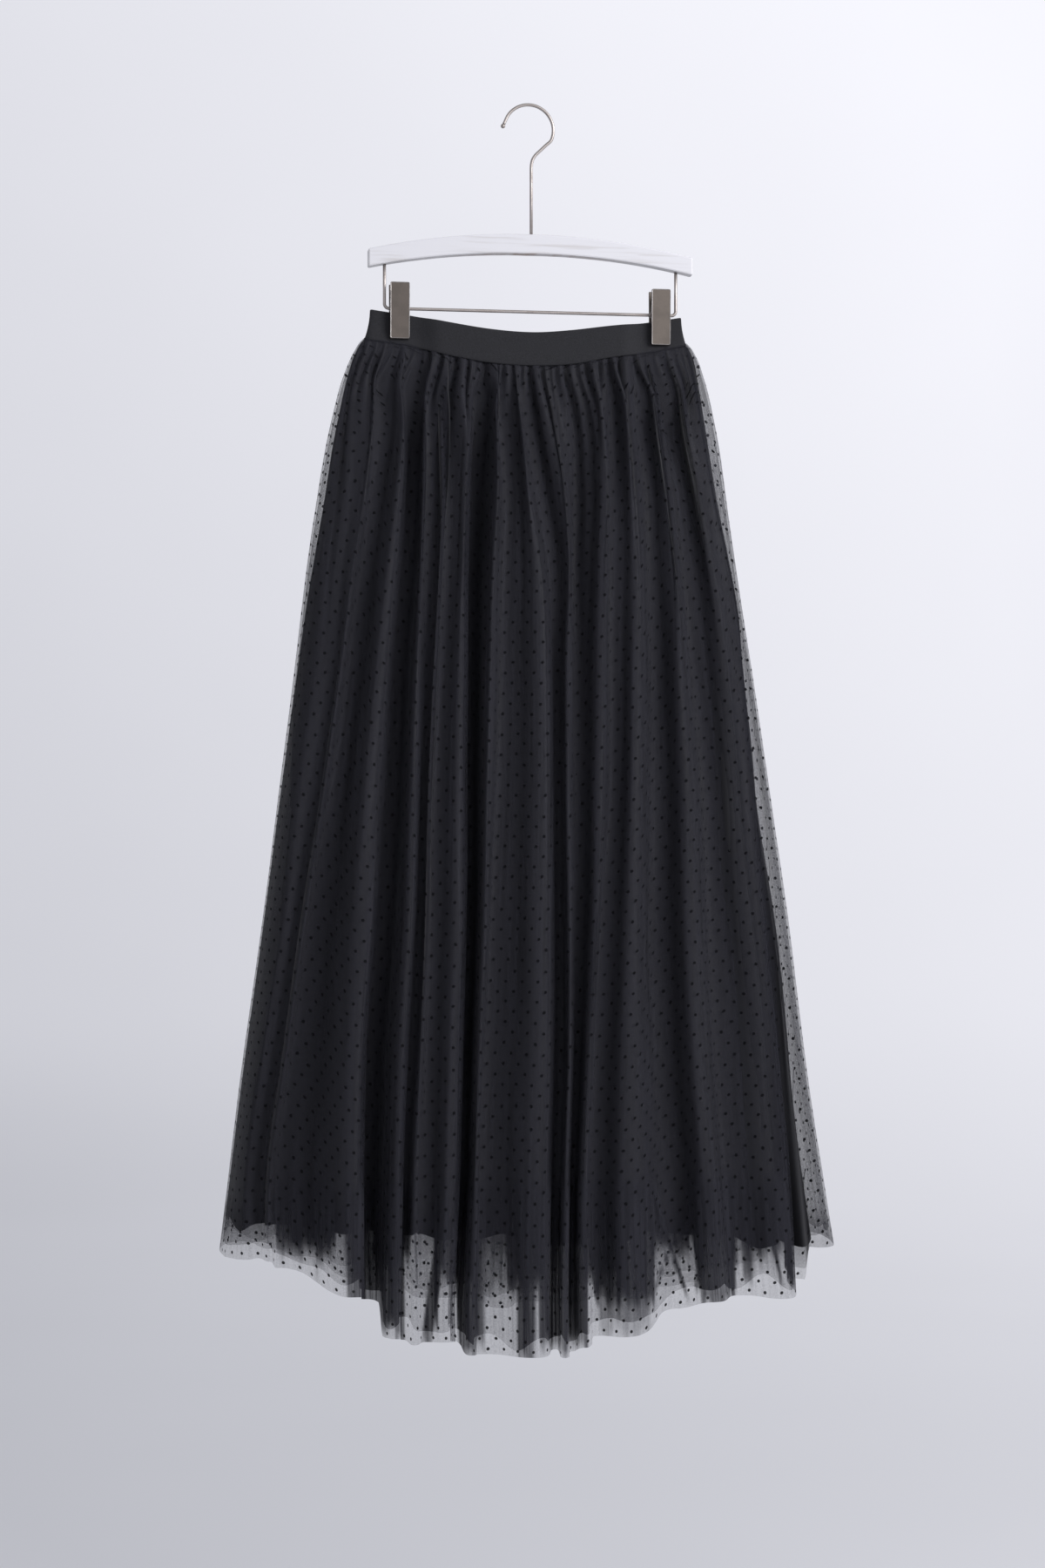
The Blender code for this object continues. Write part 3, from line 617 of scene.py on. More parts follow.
def gathers(across, fall, count, seed):
    """How far the gathering pulls each point in, in millimetres. across is 0 to 1 over the panel."""
    dice = random.Random(seed)
    total = np.zeros((len(fall), len(across)))
    down = np.asarray(fall)[:, None]
    for k in range(count):
        centre = (k + 0.5 + dice.uniform(-0.30, 0.30)) / count
        width = dice.uniform(0.24, 0.36) / count
        depth = dice.uniform(*GATHER_DEPTH)
        length = dice.choice(GATHER_LENGTHS) * dice.uniform(0.8, 1.2)
        drift = dice.uniform(-0.09, 0.09)
        shape = np.exp(-(((across[None, :] - centre - drift * down) / (width * (1 + 3.0 * down))) ** 2))
        strength = soft((down + 0.004) / 0.014) * (1 - soft((down - 0.02) / length))
        total += depth * shape * strength
    return total


def creases(across_mm, fall, seed, least, most):
    """Fine vertical creases, about -1 to 1."""
    dice = random.Random(seed)
    down = np.asarray(fall)[:, None] * 1000
    total = np.zeros((len(fall), len(across_mm)))
    weight = 0.0
    for _ in range(CREASE_WAVES):
        length = dice.uniform(least, most)
        sway = dice.uniform(0.4, 1.3)
        slow = dice.uniform(260, 700)
        phase = dice.uniform(0, 2 * math.pi)
        turn = dice.uniform(0, 2 * math.pi)
        lean = dice.uniform(-0.02, 0.02)
        size = dice.uniform(0.5, 1.0)
        angle = 2 * math.pi * (across_mm[None, :] + lean * down) / length + phase
        total += size * np.sin(angle + sway * np.sin(2 * math.pi * down / slow + turn))
        weight += size * size
    return total / math.sqrt(weight / 2) / 2


# %% [markdown]
# A layer's sheet needs a flat map too, because the dots are flocked on the net while it is flat. The map
# gives each point its distance along the cloth from the panel's middle and its distance up from the hem,
# in metres, so a dot is the same size all over and its rows run with the hem.

# %% Sheets
Layer = namedtuple("Layer", "name inset least raise_hem steps rows crease calm slot")
# How far a layer lies inside the outer one and its least half depth; how much higher its hem is; columns
# from fold to fold and rows; how strong its creases are, and how much of the gathering it is spared.
LAYERS = (
    Layer("tulle", 0.0, 4.2, 0.0, 24, 146, 1.0, 0.0, "dotted_tulle"),
    Layer("under_tulle", 2.2, 2.8, 13.0, 16, 120, 0.9, 0.0, "plain_tulle"),
    Layer("lining", 4.6, 1.4, None, 12, 110, 0.25, 0.12, "lining_cloth"),
)
ROW_CROWD = 1.25  # rows lie closer near the band, where the pleats are small
GATHER_FALL = 0.03  # the falls at which the cloth is measured for its gathers and its creases
CREASE_FALL = 0.85
CREASE_REACH = 0.06
FINE_CREASE = 0.62
FINER_CREASE = 0.14
# The shortest and longest waves of each, in millimetres.
FINE_WAVES = (16, 46)
FINER_WAVES = (5, 13)
RAGGED_WAVES = (40, 130)
LINING_WAVES = (34, 110)
HALFWAY = np.array([0.5])  # the one fall at which a hem's waver is worked out
SIDE_CALM = 14.0
INSET_START = 0.35
EDGE_LEAST = 0.4
RAGGED = 7.0
THREAD_SHARE = 0.8
# The lining's hem: across, and height. Then how far its sides stop short of the tulle's, by height.
LINING_HEM = ((-300, -1104), (-190, -1108), (-56, -1119), (12, -1125), (117, -1117), (228, -1133),
              (300, -1135))
LINING_WAVE = 5.0
LINING_GAP = 2.0
LEAST_LINING = 0.6
LINING_LEFT = ((-1200, -3), (-900, -3), (-700, -3), (-600, -2), (-500, 0), (-450, 2), (-400, 3), (-330, 2),
               (-262, 0), (-230, 0))
LINING_RIGHT = ((-1200, 18), (-1043, 16), (-988, 14), (-934, 11), (-826, 9), (-772, 10), (-718, 11),
                (-664, 9), (-609, 6), (-555, 3), (-510, 0), (-447, 2), (-393, 5), (-338, 6), (-273, 3),
                (-230, 0))
SIDE_REACH = 120.0


def lining_side(x, half, z, fall, front):
    """The lining's own narrower outline: its sides are drawn in, and its depth follows."""
    left = column(SECTIONS, "left", fall)
    right = column(SECTIONS, "right", fall)
    in_left = through(*zip(*LINING_LEFT), z)
    in_right = through(*zip(*LINING_RIGHT), z)
    x = x + in_left * (1 - soft((x - left) / SIDE_REACH))
    x = x - in_right * (1 - soft((right - x) / SIDE_REACH))
    limit = form_half(x, left + in_left, right - in_right, fall, front)
    return x, np.minimum(half, np.maximum(limit - LINING_GAP, LEAST_LINING))


def cloth_sheet(layer, front):
    """One panel of a layer as a mesh object, with its flat map and how bunched its net is."""
    folds = FRONT_FOLDS if front else BACK_FOLDS
    fall = np.linspace(0.0, 1.0, layer.rows + 1) ** ROW_CROWD
    down = fall[:, None]
    x, half, tops, hems = section_curves(folds, front, fall, layer.steps)
    nx, nh = outward(x, half)
    across_mm = arc_length(x, half)[np.argmin(np.abs(fall - CREASE_FALL))]
    seam_x = x[np.argmin(np.abs(fall - GATHER_FALL))]
    across = (seam_x - seam_x[0]) / (seam_x[-1] - seam_x[0])
    seed = 5 if front else 11
    pull = gathers(across, fall, GATHERS_FRONT if front else GATHERS_BACK, seed)
    fine = creases(across_mm, fall, seed + 1, *FINE_WAVES)
    finer = creases(across_mm, fall, seed + 2 + len(layer.name), *FINER_WAVES)
    fade = soft(down / CREASE_REACH)
    sides = soft(across_mm / SIDE_CALM) * soft((across_mm[-1] - across_mm) / SIDE_CALM)
    move = -pull * (1 - layer.calm) + layer.crease * fade * (FINE_CREASE * fine + FINER_CREASE * finer)
    move = move * sides[None, :] - layer.inset * (INSET_START + (1 - INSET_START) * fade)
    x = x + nx * move
    half = np.maximum(half + nh * move, (EDGE_LEAST + layer.least) * sides[None, :])
    # The inner layers end higher, but on the same fold lines.
    if layer.name == "lining":
        wanted = through(*zip(*LINING_HEM), x[-1])
        wanted = wanted + LINING_WAVE * creases(across_mm, HALFWAY, seed + 15, *LINING_WAVES)[0]
        z = tops + TUCK + (wanted - tops - TUCK) * down
        reach = down * ((tops - wanted) / (tops - hems))[None, :]
        x, half = rows_at(x, fall, reach), rows_at(half, fall, reach)
        x, half = lining_side(x, half, z, reach, front)
    else:
        ragged = np.zeros_like(tops)
        if layer.raise_hem:
            ragged = layer.raise_hem + RAGGED * creases(across_mm, HALFWAY, seed + 9, *RAGGED_WAVES)[0]
        reach = down * (1 - ragged / (tops - hems))[None, :]
        x, half = rows_at(x, fall, reach), rows_at(half, fall, reach)
        z = tops + TUCK + (hems - tops - TUCK) * reach
    plane = column(SECTIONS, "plane", fall)[:, None]
    y = plane + (-half if front else half)
    return sheet_object(layer, front, x, y, z, nh)


def rows_at(values, fall, reach):
    """Each column of values, read at its own falls."""
    found = np.empty_like(reach)
    for k in range(values.shape[1]):
        found[:, k] = np.interp(reach[:, k], fall, values[:, k])
    return found


def sheet_object(layer, front, x, y, z, facing):
    """The grid as a mesh with its flat map, its threads' map, and how bunched its net is. facing is how
    squarely each point looks to the front or the back, 0 to 1 either way."""
    rows, columns = x.shape
    length = arc_length(x, y)
    middle = length[:, columns // 2 : columns // 2 + 1]
    u = (length - middle) * MM
    thread_row = int(rows * THREAD_SHARE)
    slant = np.sqrt(np.diff(x, axis=0) ** 2 + np.diff(y, axis=0) ** 2 + np.diff(z, axis=0) ** 2)
    v = np.concatenate([np.cumsum(slant[::-1], axis=0)[::-1], np.zeros((1, columns))]) * MM
    shell = bmesh.new()
    bmesh.ops.create_grid(shell, x_segments=columns - 1, y_segments=rows - 1, size=1.0)
    shell.verts.ensure_lookup_table()
    flat = shell.loops.layers.uv.new("flat")
    threads = shell.loops.layers.uv.new("threads")
    for index, corner in enumerate(shell.verts):
        r, c = divmod(index, columns)
        corner.co = (x[r, c] * MM, y[r, c] * MM, z[r, c] * MM)
    for face in shell.faces:
        for loop in face.loops:
            r, c = divmod(loop.vert.index, columns)
            loop[flat].uv = (u[r, c], v[r, c])
            loop[threads].uv = (u[thread_row, c], v[r, c])
    if front:
        bmesh.ops.reverse_faces(shell, faces=shell.faces)
    made = finished(f"{layer.name}_{'front' if front else 'back'}_cloth", shell)
    mask = made.data.attributes.new("bunch", "FLOAT", "POINT")
    mask.data.foreach_set("value", bunched(layer, front, x, z, 1 - np.abs(facing)).ravel())
    print(made.name, len(made.data.polygons) * 2, "triangles; hem", round(length[-1][-1]), "mm, top",
          round(length[0][-1]), "mm; drop", round(v[0].mean() / MM), "mm")
    return made


# %% [markdown]
# Where several pleats lie pressed together, the net is many layers thick and nearly black, right down to
# the hem; between such bundles one flat layer of net is clear. The table lists the bundles that hang below
# the lining: their left and right edges high up and at the hem, how far down they reach, how dense.

# %% Bundles of net
Bundle = namedtuple("Bundle", "left_high right_high left_low right_low end dense")
FRONT_BUNDLES = (
    Bundle(-262, -205, -255, -215, -1130, 0.75),
    Bundle(-196, -134, -194, -150, -1196, 0.97),
    Bundle(-152, -139, -150, -139, -1212, 0.90),
    Bundle(-104, -96, -122, -112, -1222, 0.85),
    Bundle(-88, -62, -86, -62, -1222, 0.95),
    Bundle(-62, -30, -62, -28, -1165, 0.45),
    Bundle(-32, -14, -32, -16, -1236, 0.92),
    Bundle(-14, 38, -12, 36, -1222, 0.93),
    Bundle(33, 105, 49, 104, -1180, 0.95),
    Bundle(49, 100, 50, 98, -1210, 0.45),
    Bundle(139, 192, 150, 188, -1188, 0.97),
    Bundle(196, 206, 198, 206, -1170, 0.70),
    Bundle(228, 240, 244, 252, -1172, 0.70),
    Bundle(205, 236, 210, 232, -1140, 0.55),
    # Single folds of the net, seen as thin dark lines in the clear parts.
    Bundle(-111, -108.5, -111, -108.5, -1196, 0.75),
    Bundle(-132, -130, -128, -126, -1160, 0.45),
    Bundle(105, 108.5, 143, 146.5, -1182, 0.90),
    Bundle(154.5, 157.5, 140, 143, -1168, 0.80),
    Bundle(152, 155.5, 87, 90.5, -1176, 0.75),
    Bundle(214, 217, 236, 239, -1170, 0.80),
    Bundle(262, 264.5, 268, 270.5, -1150, 0.60),
    Bundle(-250, -247.5, -256, -253.5, -1130, 0.50),
    Bundle(-222, -219.5, -226, -223.5, -1150, 0.55),
)
BACK_BUNDLES = (
    Bundle(-240, -190, -236, -196, -1140, 0.80),
    Bundle(-150, -112, -156, -120, -1166, 0.85),
    Bundle(-80, -44, -84, -50, -1190, 0.80),
    Bundle(-24, 30, -18, 22, -1196, 0.85),
    Bundle(60, 104, 66, 100, -1188, 0.80),
    Bundle(130, 172, 136, 170, -1160, 0.85),
    Bundle(196, 236, 204, 236, -1140, 0.75),
)
# Heights: where the bundles begin to show, and between which their two pairs of edges lie.
BUNDLE_START = -1055.0
BUNDLE_TOP = -1080.0
BUNDLE_LOW = -1200.0
START_REACH = 40.0
EDGE_SOFT = 2.4
END_SOFT = 18.0
RAGGED_END = 4.0
# A thin veil of crumpled net hangs just below the lining, and net seen edge-on is thicker to look through.
HAZE = 0.30
HAZE_ABOVE = 30.0
HAZE_REACH = 34.0
EDGE_ON = 0.3


def bunched(layer, front, x, z, steep):
    """How thickly the net lies at each point, 0 to 1."""
    dice = random.Random(31 if front else 37)
    total = EDGE_ON * steep**8
    if layer.name == "lining":
        return total
    below = through(*zip(*LINING_HEM), x) - z
    total = total + HAZE * soft((below + HAZE_ABOVE) / HAZE_ABOVE) * (1 - soft(below / HAZE_REACH))
    down = np.clip((BUNDLE_TOP - z) / (BUNDLE_TOP - BUNDLE_LOW), 0.0, 1.3)
    starts = soft((BUNDLE_START - z) / START_REACH)
    clear = np.ones_like(x)
    for row in FRONT_BUNDLES if front else BACK_BUNDLES:
        left = row.left_high + (row.left_low - row.left_high) * down - 1.0
        right = row.right_high + (row.right_low - row.right_high) * down + 1.0
        inside = soft((x - left) / EDGE_SOFT) * soft((right - x) / EDGE_SOFT)
        ragged = np.sin(x / dice.uniform(1.4, 2.2)) + np.sin(x / dice.uniform(3, 5))
        ends = soft((z - row.end + RAGGED_END * ragged) / END_SOFT + 0.5)
        clear = clear * (1 - row.dense * inside * ends * starts)
    return np.clip(total + 1 - clear, 0.0, 1.0)


layers = {}
for layer in LAYERS:
    for front in (True, False):
        layers[layer.name, front] = cloth_sheet(layer, front)

# %% [markdown]
# ## The net and its dots
# The dots are flock, pressed on the net in rows 10 mm apart, 16 mm from dot to dot, each row half a step
# on from the last. The group works out the nearest dot's centre from the flat map and draws a soft round
# there; a slow noise moves the dots a little, since cloth is never true.

# %% Dot group
DOT_SPACING = 0.0162
DOT_ROW = 0.0101
DOT_RADIUS = 0.00165
DOT_DRIFT = 0.007


def dot_group():
    """The dots as a mask, from the flat map."""
    tree, given, out = new_group(
        "flocked_dots",
        [
            ("Flat", "Vector", None),
            ("Spacing", "Float", DOT_SPACING),
            ("Row", "Float", DOT_ROW),
            ("Radius", "Float", DOT_RADIUS),
        ],
        [("Dots", "Float", None)],
    )
    sway = node(tree, "ShaderNodeTexNoise", Scale=22.0, Detail=1.0, Vector=given["Flat"])
    moved = node(tree, "ShaderNodeVectorMath", operation="SUBTRACT")
    join(tree, sway.outputs["Color"], moved.inputs[0])
    moved.inputs[1].default_value = (0.5, 0.5, 0.5)
    small = node(tree, "ShaderNodeVectorMath", operation="SCALE", Scale=DOT_DRIFT)
    join(tree, moved.outputs[0], small.inputs[0])
    place = node(tree, "ShaderNodeVectorMath", operation="ADD")
    join(tree, given["Flat"], place.inputs[0])
    join(tree, small.outputs[0], place.inputs[1])
    split = node(tree, "ShaderNodeSeparateXYZ", Vector=place.outputs[0])
    row = sums(tree, "DIVIDE", split.outputs["Y"], given["Row"])
    shift = sums(tree, "MULTIPLY", sums(tree, "MODULO", sums(tree, "FLOOR", row), 2.0), 0.5)
    along = sums(tree, "ADD", sums(tree, "DIVIDE", split.outputs["X"], given["Spacing"]), shift)
    dx = sums(tree, "SUBTRACT", sums(tree, "FRACT", along), 0.5)
    dy = sums(tree, "SUBTRACT", sums(tree, "FRACT", row), 0.5)
    dx = sums(tree, "MULTIPLY", dx, given["Spacing"])
    dy = sums(tree, "MULTIPLY", dy, given["Row"])
    square = sums(tree, "MULTIPLY_ADD", dx, dx, sums(tree, "MULTIPLY", dy, dy))
    away = sums(tree, "SQRT", square)
    inner = sums(tree, "MULTIPLY", given["Radius"], 0.8)
    outer = sums(tree, "MULTIPLY", given["Radius"], 1.15)
    join(tree, spread(tree, away, inner, outer, 1.0, 0.0), out["Dots"])
    return tree


# %% Net group
def net_group():
    """How much the net covers: its mesh, its streaks and its bundles together, and the streaks alone."""
    tree, given, out = new_group(
        "fine_net",
        [
            ("Flat", "Vector", None),
            ("Threads", "Vector", None),
            ("Cover", "Float", 0.2),
            ("Bunch", "Float", 0.0),
            ("Thick", "Float", 0.8),
        ],
        [("Cover", "Float", None), ("Streak", "Float", None)],
    )
    streak = stretched_noise(tree, given["Threads"], (260.0, 7.0, 1.0), 3.0)
    mesh = node(tree, "ShaderNodeTexVoronoi", Scale=620.0, Vector=given["Flat"])
    mesh.feature = "DISTANCE_TO_EDGE"
    thread = spread(tree, mesh.outputs["Distance"], 0.02, 0.16, 1.35, 0.85)
    base = sums(tree, "MULTIPLY", given["Cover"], thread)
    lines = spread(tree, streak, 0.35, 0.72)
    base = sums(tree, "MULTIPLY", base, sums(tree, "MULTIPLY_ADD", lines, 0.3, 0.86))
    pressed = sums(tree, "MULTIPLY", given["Bunch"], sums(tree, "MULTIPLY_ADD", lines, 0.35, 0.80))
    pressed = sums(tree, "MULTIPLY", pressed, given["Thick"])
    # Light comes through only where both the flat net and the bundle let it.
    open_net = sums(tree, "SUBTRACT", 1.0, base)
    open_bundle = sums(tree, "SUBTRACT", 1.0, pressed)
    both = sums(tree, "MULTIPLY", open_net, open_bundle)
    join(tree, sums(tree, "SUBTRACT", 1.0, both, clamp=True), out["Cover"])
    join(tree, streak, out["Streak"])
    return tree


DOTS = dot_group()
NET = net_group()

# %% Cloth materials
NET_DARK = (0.024, 0.024, 0.031)
NET_LIGHT = (0.058, 0.058, 0.076)
DOT_INK = (0.007, 0.007, 0.009)
NET_COVER = 0.27
NET_THICK = 0.90
LINING_DARK = (0.0095, 0.0095, 0.013)
LINING_LIGHT = (0.015, 0.015, 0.0195)


def tulle_material(name, dotted):
    made, tree, shader = new_material(name, Roughness=0.9, Specular_IOR_Level=0.05)
    flat = node(tree, "ShaderNodeUVMap", uv_map="flat").outputs[0]
    bunch = node(tree, "ShaderNodeAttribute", attribute_name="bunch").outputs["Fac"]
    threads = node(tree, "ShaderNodeUVMap", uv_map="threads").outputs[0]
    net = use_group(tree, NET, Flat=flat, Threads=threads, Cover=NET_COVER, Bunch=bunch, Thick=NET_THICK)
    pale = sums(tree, "MULTIPLY", net["Streak"], sums(tree, "MULTIPLY_ADD", bunch, -0.8, 1.0, clamp=True))
    colour = blend_colour(tree, pale, NET_DARK, NET_LIGHT)
    alpha = net["Cover"]
    if dotted:
        dots = use_group(tree, DOTS, Flat=flat)["Dots"]
        colour = blend_colour(tree, dots, colour, DOT_INK)
        alpha = sums(tree, "MAXIMUM", alpha, sums(tree, "MULTIPLY", dots, 0.97))
    join(tree, colour, shader["Base Color"])
    join(tree, alpha, shader["Alpha"])
    return made


def lining_material():
    made, tree, shader = new_material("black_lining", Specular_IOR_Level=0.35, Sheen_Weight=0.08)
    threads = node(tree, "ShaderNodeUVMap", uv_map="threads").outputs[0]
    slub = stretched_noise(tree, threads, (90.0, 6.0, 1.0), 4.0)
    mask = spread(tree, slub, 0.3, 0.7)
    join(tree, blend_colour(tree, mask, LINING_DARK, LINING_LIGHT), shader["Base Color"])
    join(tree, spread(tree, slub, 0.3, 0.7, 0.55, 0.70), shader["Roughness"])
    return made


MATERIALS = {
    "tulle": tulle_material("dotted_net", True),
    "under_tulle": tulle_material("plain_net", False),
    "lining": lining_material(),
}
for (kind, front), made in layers.items():
    made.data.materials.append(MATERIALS[kind])

# %% [markdown]
# ## Waistband
# The band is a wide ribbed elastic sewn into a loop. Flattened between the clips it is a thin closed ring.
# It is worked out as rings from its upper to its lower edge; the upper edge is a fold, so it is round.

# %% Skin over rings
def bridged(shell, rings, closed=False):
    """A skin over rings of points, each bridged to the next. Returns the rings' edges."""
    loops = []
    for ring in rings:
        corners = [shell.verts.new(point) for point in ring]
        loops.append([shell.edges.new(pair) for pair in zip(corners, corners[1:] + corners[:1])])
    for upper, lower in zip(loops, loops[1:] + loops[: int(closed)]):
        bmesh.ops.bridge_loops(shell, edges=upper + lower)
    return loops


# %% Waistband
BAND_TOP_ENDS = (-162.6, 153.6)
BAND_ENDS = (-168.4, 159.0)
BAND_HALF = 9.0
BAND_SPREAD = 2.0
BAND_WALL = 1.6
BAND_GRIP = 2.3
BAND_COLUMNS = 200
# Rings of the band's section, outside down and inside up: share of its height, and inwards offset.
BAND_RINGS = (
    (0.000, 0.80), (0.010, 0.35), (0.035, 0.05), (0.10, 0.0), (0.25, 0.0), (0.45, 0.0), (0.65, 0.0),
    (0.80, 0.0), (0.90, 0.0), (0.96, 0.05), (0.985, 0.3), (1.000, 0.75),
    (0.985, BAND_WALL), (0.8, BAND_WALL), (0.5, BAND_WALL), (0.2, BAND_WALL), (0.015, BAND_WALL),
)


def band_ring(share, inward):
    """One closed ring of the band, front run then back run."""
    left = BAND_TOP_ENDS[0] + (BAND_ENDS[0] - BAND_TOP_ENDS[0]) * share**2
    right = BAND_TOP_ENDS[1] + (BAND_ENDS[1] - BAND_TOP_ENDS[1]) * share**2
    turn = np.linspace(0, 2 * math.pi, BAND_COLUMNS, endpoint=False)
    across = 0.5 - 0.5 * np.cos(turn)
    x = left + (right - left) * across
    open_foot = soft((share - 0.6) / 0.4)
    grip = BAND_GRIP + (GRIP_FOOT - BAND_GRIP) * open_foot
    half = flattened(x, left, right, BAND_HALF + BAND_SPREAD * share, grip, 1.0)
    half = np.maximum(half - inward, 0.0)
    foot_x = BAND_ENDS[0] + (BAND_ENDS[1] - BAND_ENDS[0]) * across
    top = column(BAND_LINE, "top", foot_x)
    foot = column(BAND_LINE, "foot", foot_x)
    y = np.where(turn < math.pi, -half, half)
    y = np.where((across < 1e-6) | (across > 1 - 1e-6), 0.0, y)
    inset = inward * np.sign(0.5 - across) * soft((np.abs(across - 0.5) - 0.47) / 0.03)
    z = top + (foot - top) * share
    return np.stack([x + inset, y, z], axis=1) * MM


def waistband():
    shell = bmesh.new()
    bridged(shell, [band_ring(share, inward) for share, inward in BAND_RINGS], closed=True)
    bmesh.ops.recalc_face_normals(shell, faces=shell.faces)
    made = finished("waistband_cloth", shell)
    print("waistband", len(made.data.polygons) * 2, "triangles")
    return made


band = waistband()

# %% Ribbed elastic
RIB_PITCH = 0.0016
COURSE_PITCH = 0.0012
BAND_DARK = (0.012, 0.012, 0.015)
BAND_LIGHT = (0.019, 0.019, 0.024)


def band_material():
    made, tree, shader = new_material(
        "ribbed_elastic",
        Roughness=0.8,
        Specular_IOR_Level=0.3,
        Sheen_Weight=0.10,
        Sheen_Roughness=0.45,
    )
    place = node(tree, "ShaderNodeTexCoord").outputs["Object"]
    split = node(tree, "ShaderNodeSeparateXYZ", Vector=place)
    rib = sums(tree, "SINE", sums(tree, "MULTIPLY", split.outputs["X"], 2 * math.pi / RIB_PITCH))
    course = sums(tree, "SINE", sums(tree, "MULTIPLY", split.outputs["Z"], 2 * math.pi / COURSE_PITCH))
    speck = node(tree, "ShaderNodeTexNoise", Scale=900.0, Detail=2.0, Vector=place)
    height = sums(tree, "MULTIPLY_ADD", sums(tree, "MULTIPLY", rib, course), 0.5, speck.outputs["Fac"])
    mask = spread(tree, speck.outputs["Fac"], 0.3, 0.7)
    join(tree, blend_colour(tree, mask, BAND_DARK, BAND_LIGHT), shader["Base Color"])
    bump = node(tree, "ShaderNodeBump", Strength=0.35, Distance=0.0004, Height=height)
    join(tree, bump.outputs[0], shader["Normal"])
    return made


band.data.materials.append(band_material())

# %% [markdown]
# ## Hanger finishes
# The bar is pale wood washed white, worn to brown along its lower edge. The wire is satin nickel, and the
# clips are plated a darker, warmer grey.


# %% Hanger materials
def wear_group():
    """A cloudy, uneven finish: roughness between two values, and the same clouds as a mask."""
    tree, given, out = new_group(
        "uneven_finish",
        [
            ("Place", "Vector", None),
            ("Scale", "Float", 40.0),
            ("Low", "Float", 0.3),
            ("High", "Float", 0.5),
        ],
        [("Roughness", "Float", None), ("Mask", "Float", None)],
    )
    cloud = node(tree, "ShaderNodeTexNoise", Scale=given["Scale"], Detail=5.0, Vector=given["Place"])
    join(tree, spread(tree, cloud.outputs["Fac"], 0.3, 0.7, given["Low"], given["High"]), out["Roughness"])
    join(tree, spread(tree, cloud.outputs["Fac"], 0.35, 0.65), out["Mask"])
    return tree


WEAR = wear_group()


def metal_material(name, light, dark, low, high, scale, grain=0.0):
    """Metal with a cloudy finish: its two colours, its range of roughness, the clouds and the grain."""
    made, tree, shader = new_material(name, Metallic=1.0)
    place = node(tree, "ShaderNodeTexCoord").outputs["Object"]
    wear = use_group(tree, WEAR, Place=place, Scale=scale, Low=low, High=high)
    join(tree, wear["Roughness"], shader["Roughness"])
    join(tree, blend_colour(tree, wear["Mask"], light, dark), shader["Base Color"])
    if grain:
        fine = node(tree, "ShaderNodeTexNoise", Scale=1500.0, Detail=2.0, Vector=place)
        bump = node(tree, "ShaderNodeBump", Strength=grain, Distance=0.0002, Height=fine.outputs["Fac"])
        join(tree, bump.outputs[0], shader["Normal"])
    return made


# %% Washed wood
WASH = (0.83, 0.825, 0.89)
WASH_THIN = (0.70, 0.68, 0.71)
BARE_WOOD = (0.42, 0.31, 0.27)
BAR_CREST = -0.1292
BAR_ARCH = 0.705  # the bar drops by this much of the square of the distance from its middle, in metres
WORN_EDGE = (-0.0186, -0.0174)
WORN_WAVER = 0.0022


def wood_material():
    """White wash over wood: thin along the grain, and rubbed through at the bar's lower edge."""
    made, tree, shader = new_material("white_washed_wood")
    place = node(tree, "ShaderNodeTexCoord").outputs["Object"]
    split = node(tree, "ShaderNodeSeparateXYZ", Vector=place)
    # The height above the arched bar's own top edge.
    arch = sums(tree, "MULTIPLY", sums(tree, "MULTIPLY", split.outputs["X"], split.outputs["X"]), BAR_ARCH)
    height = sums(tree, "ADD", sums(tree, "SUBTRACT", split.outputs["Z"], BAR_CREST), arch)
    grain = stretched_noise(tree, place, (12.0, 160.0, 260.0), 5.0)
    colour = blend_colour(tree, spread(tree, grain, 0.52, 0.75), WASH, WASH_THIN)
    rub = node(tree, "ShaderNodeTexNoise", Scale=55.0, Detail=4.0, Vector=place).outputs["Fac"]
    edge = sums(tree, "ADD", height, sums(tree, "MULTIPLY", rub, WORN_WAVER))
    worn = spread(tree, edge, *WORN_EDGE, 1.0, 0.0)
    worn = sums(tree, "MULTIPLY", worn, spread(tree, rub, 0.38, 0.62, 0.15, 0.8))
    join(tree, blend_colour(tree, worn, colour, BARE_WOOD), shader["Base Color"])
    join(tree, spread(tree, grain, 0.3, 0.7, 0.5, 0.7), shader["Roughness"])
    bump = node(tree, "ShaderNodeBump", Strength=0.25, Distance=0.0004, Height=grain)
    join(tree, bump.outputs[0], shader["Normal"])
    return made


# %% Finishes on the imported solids
PEWTER_LIGHT = (0.155, 0.133, 0.116)
PEWTER_DARK = (0.128, 0.111, 0.098)
nickel = metal_material("brushed_nickel", (0.46, 0.42, 0.40), (0.38, 0.34, 0.32), 0.40, 0.50, 60.0)
pewter = metal_material("dark_pewter", PEWTER_LIGHT, PEWTER_DARK, 0.38, 0.52, 90.0, grain=0.15)
spring = metal_material("spring_wire", (0.55, 0.55, 0.55), (0.35, 0.34, 0.33), 0.25, 0.45, 200.0)
wood = wood_material()
FINISHES = {
    "hanger_bar": wood,
    "clip_left_front": pewter,
    "clip_left_back": pewter,
    "clip_right_front": pewter,
    "clip_right_back": pewter,
    "clip_left_spring": spring,
    "clip_right_spring": spring,
}
for name, finish in FINISHES.items():
    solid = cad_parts[name]
    if not solid.material_slots:
        solid.data.materials.append(finish)
    for place in solid.material_slots:
        place.material = finish
print("finishes on", len(FINISHES), "hanger nodes")

# %% [markdown]
# ## Wire and clip faces
# The hook and the rod are 3.2 mm wire. Both lie in one plane, so a round section is easy to carry along
# their paths: one way across is always straight out of that plane. The bends here are finer than on the
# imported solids. Each clip gets its pressed face: a plate with round corners and a bright turned rim.

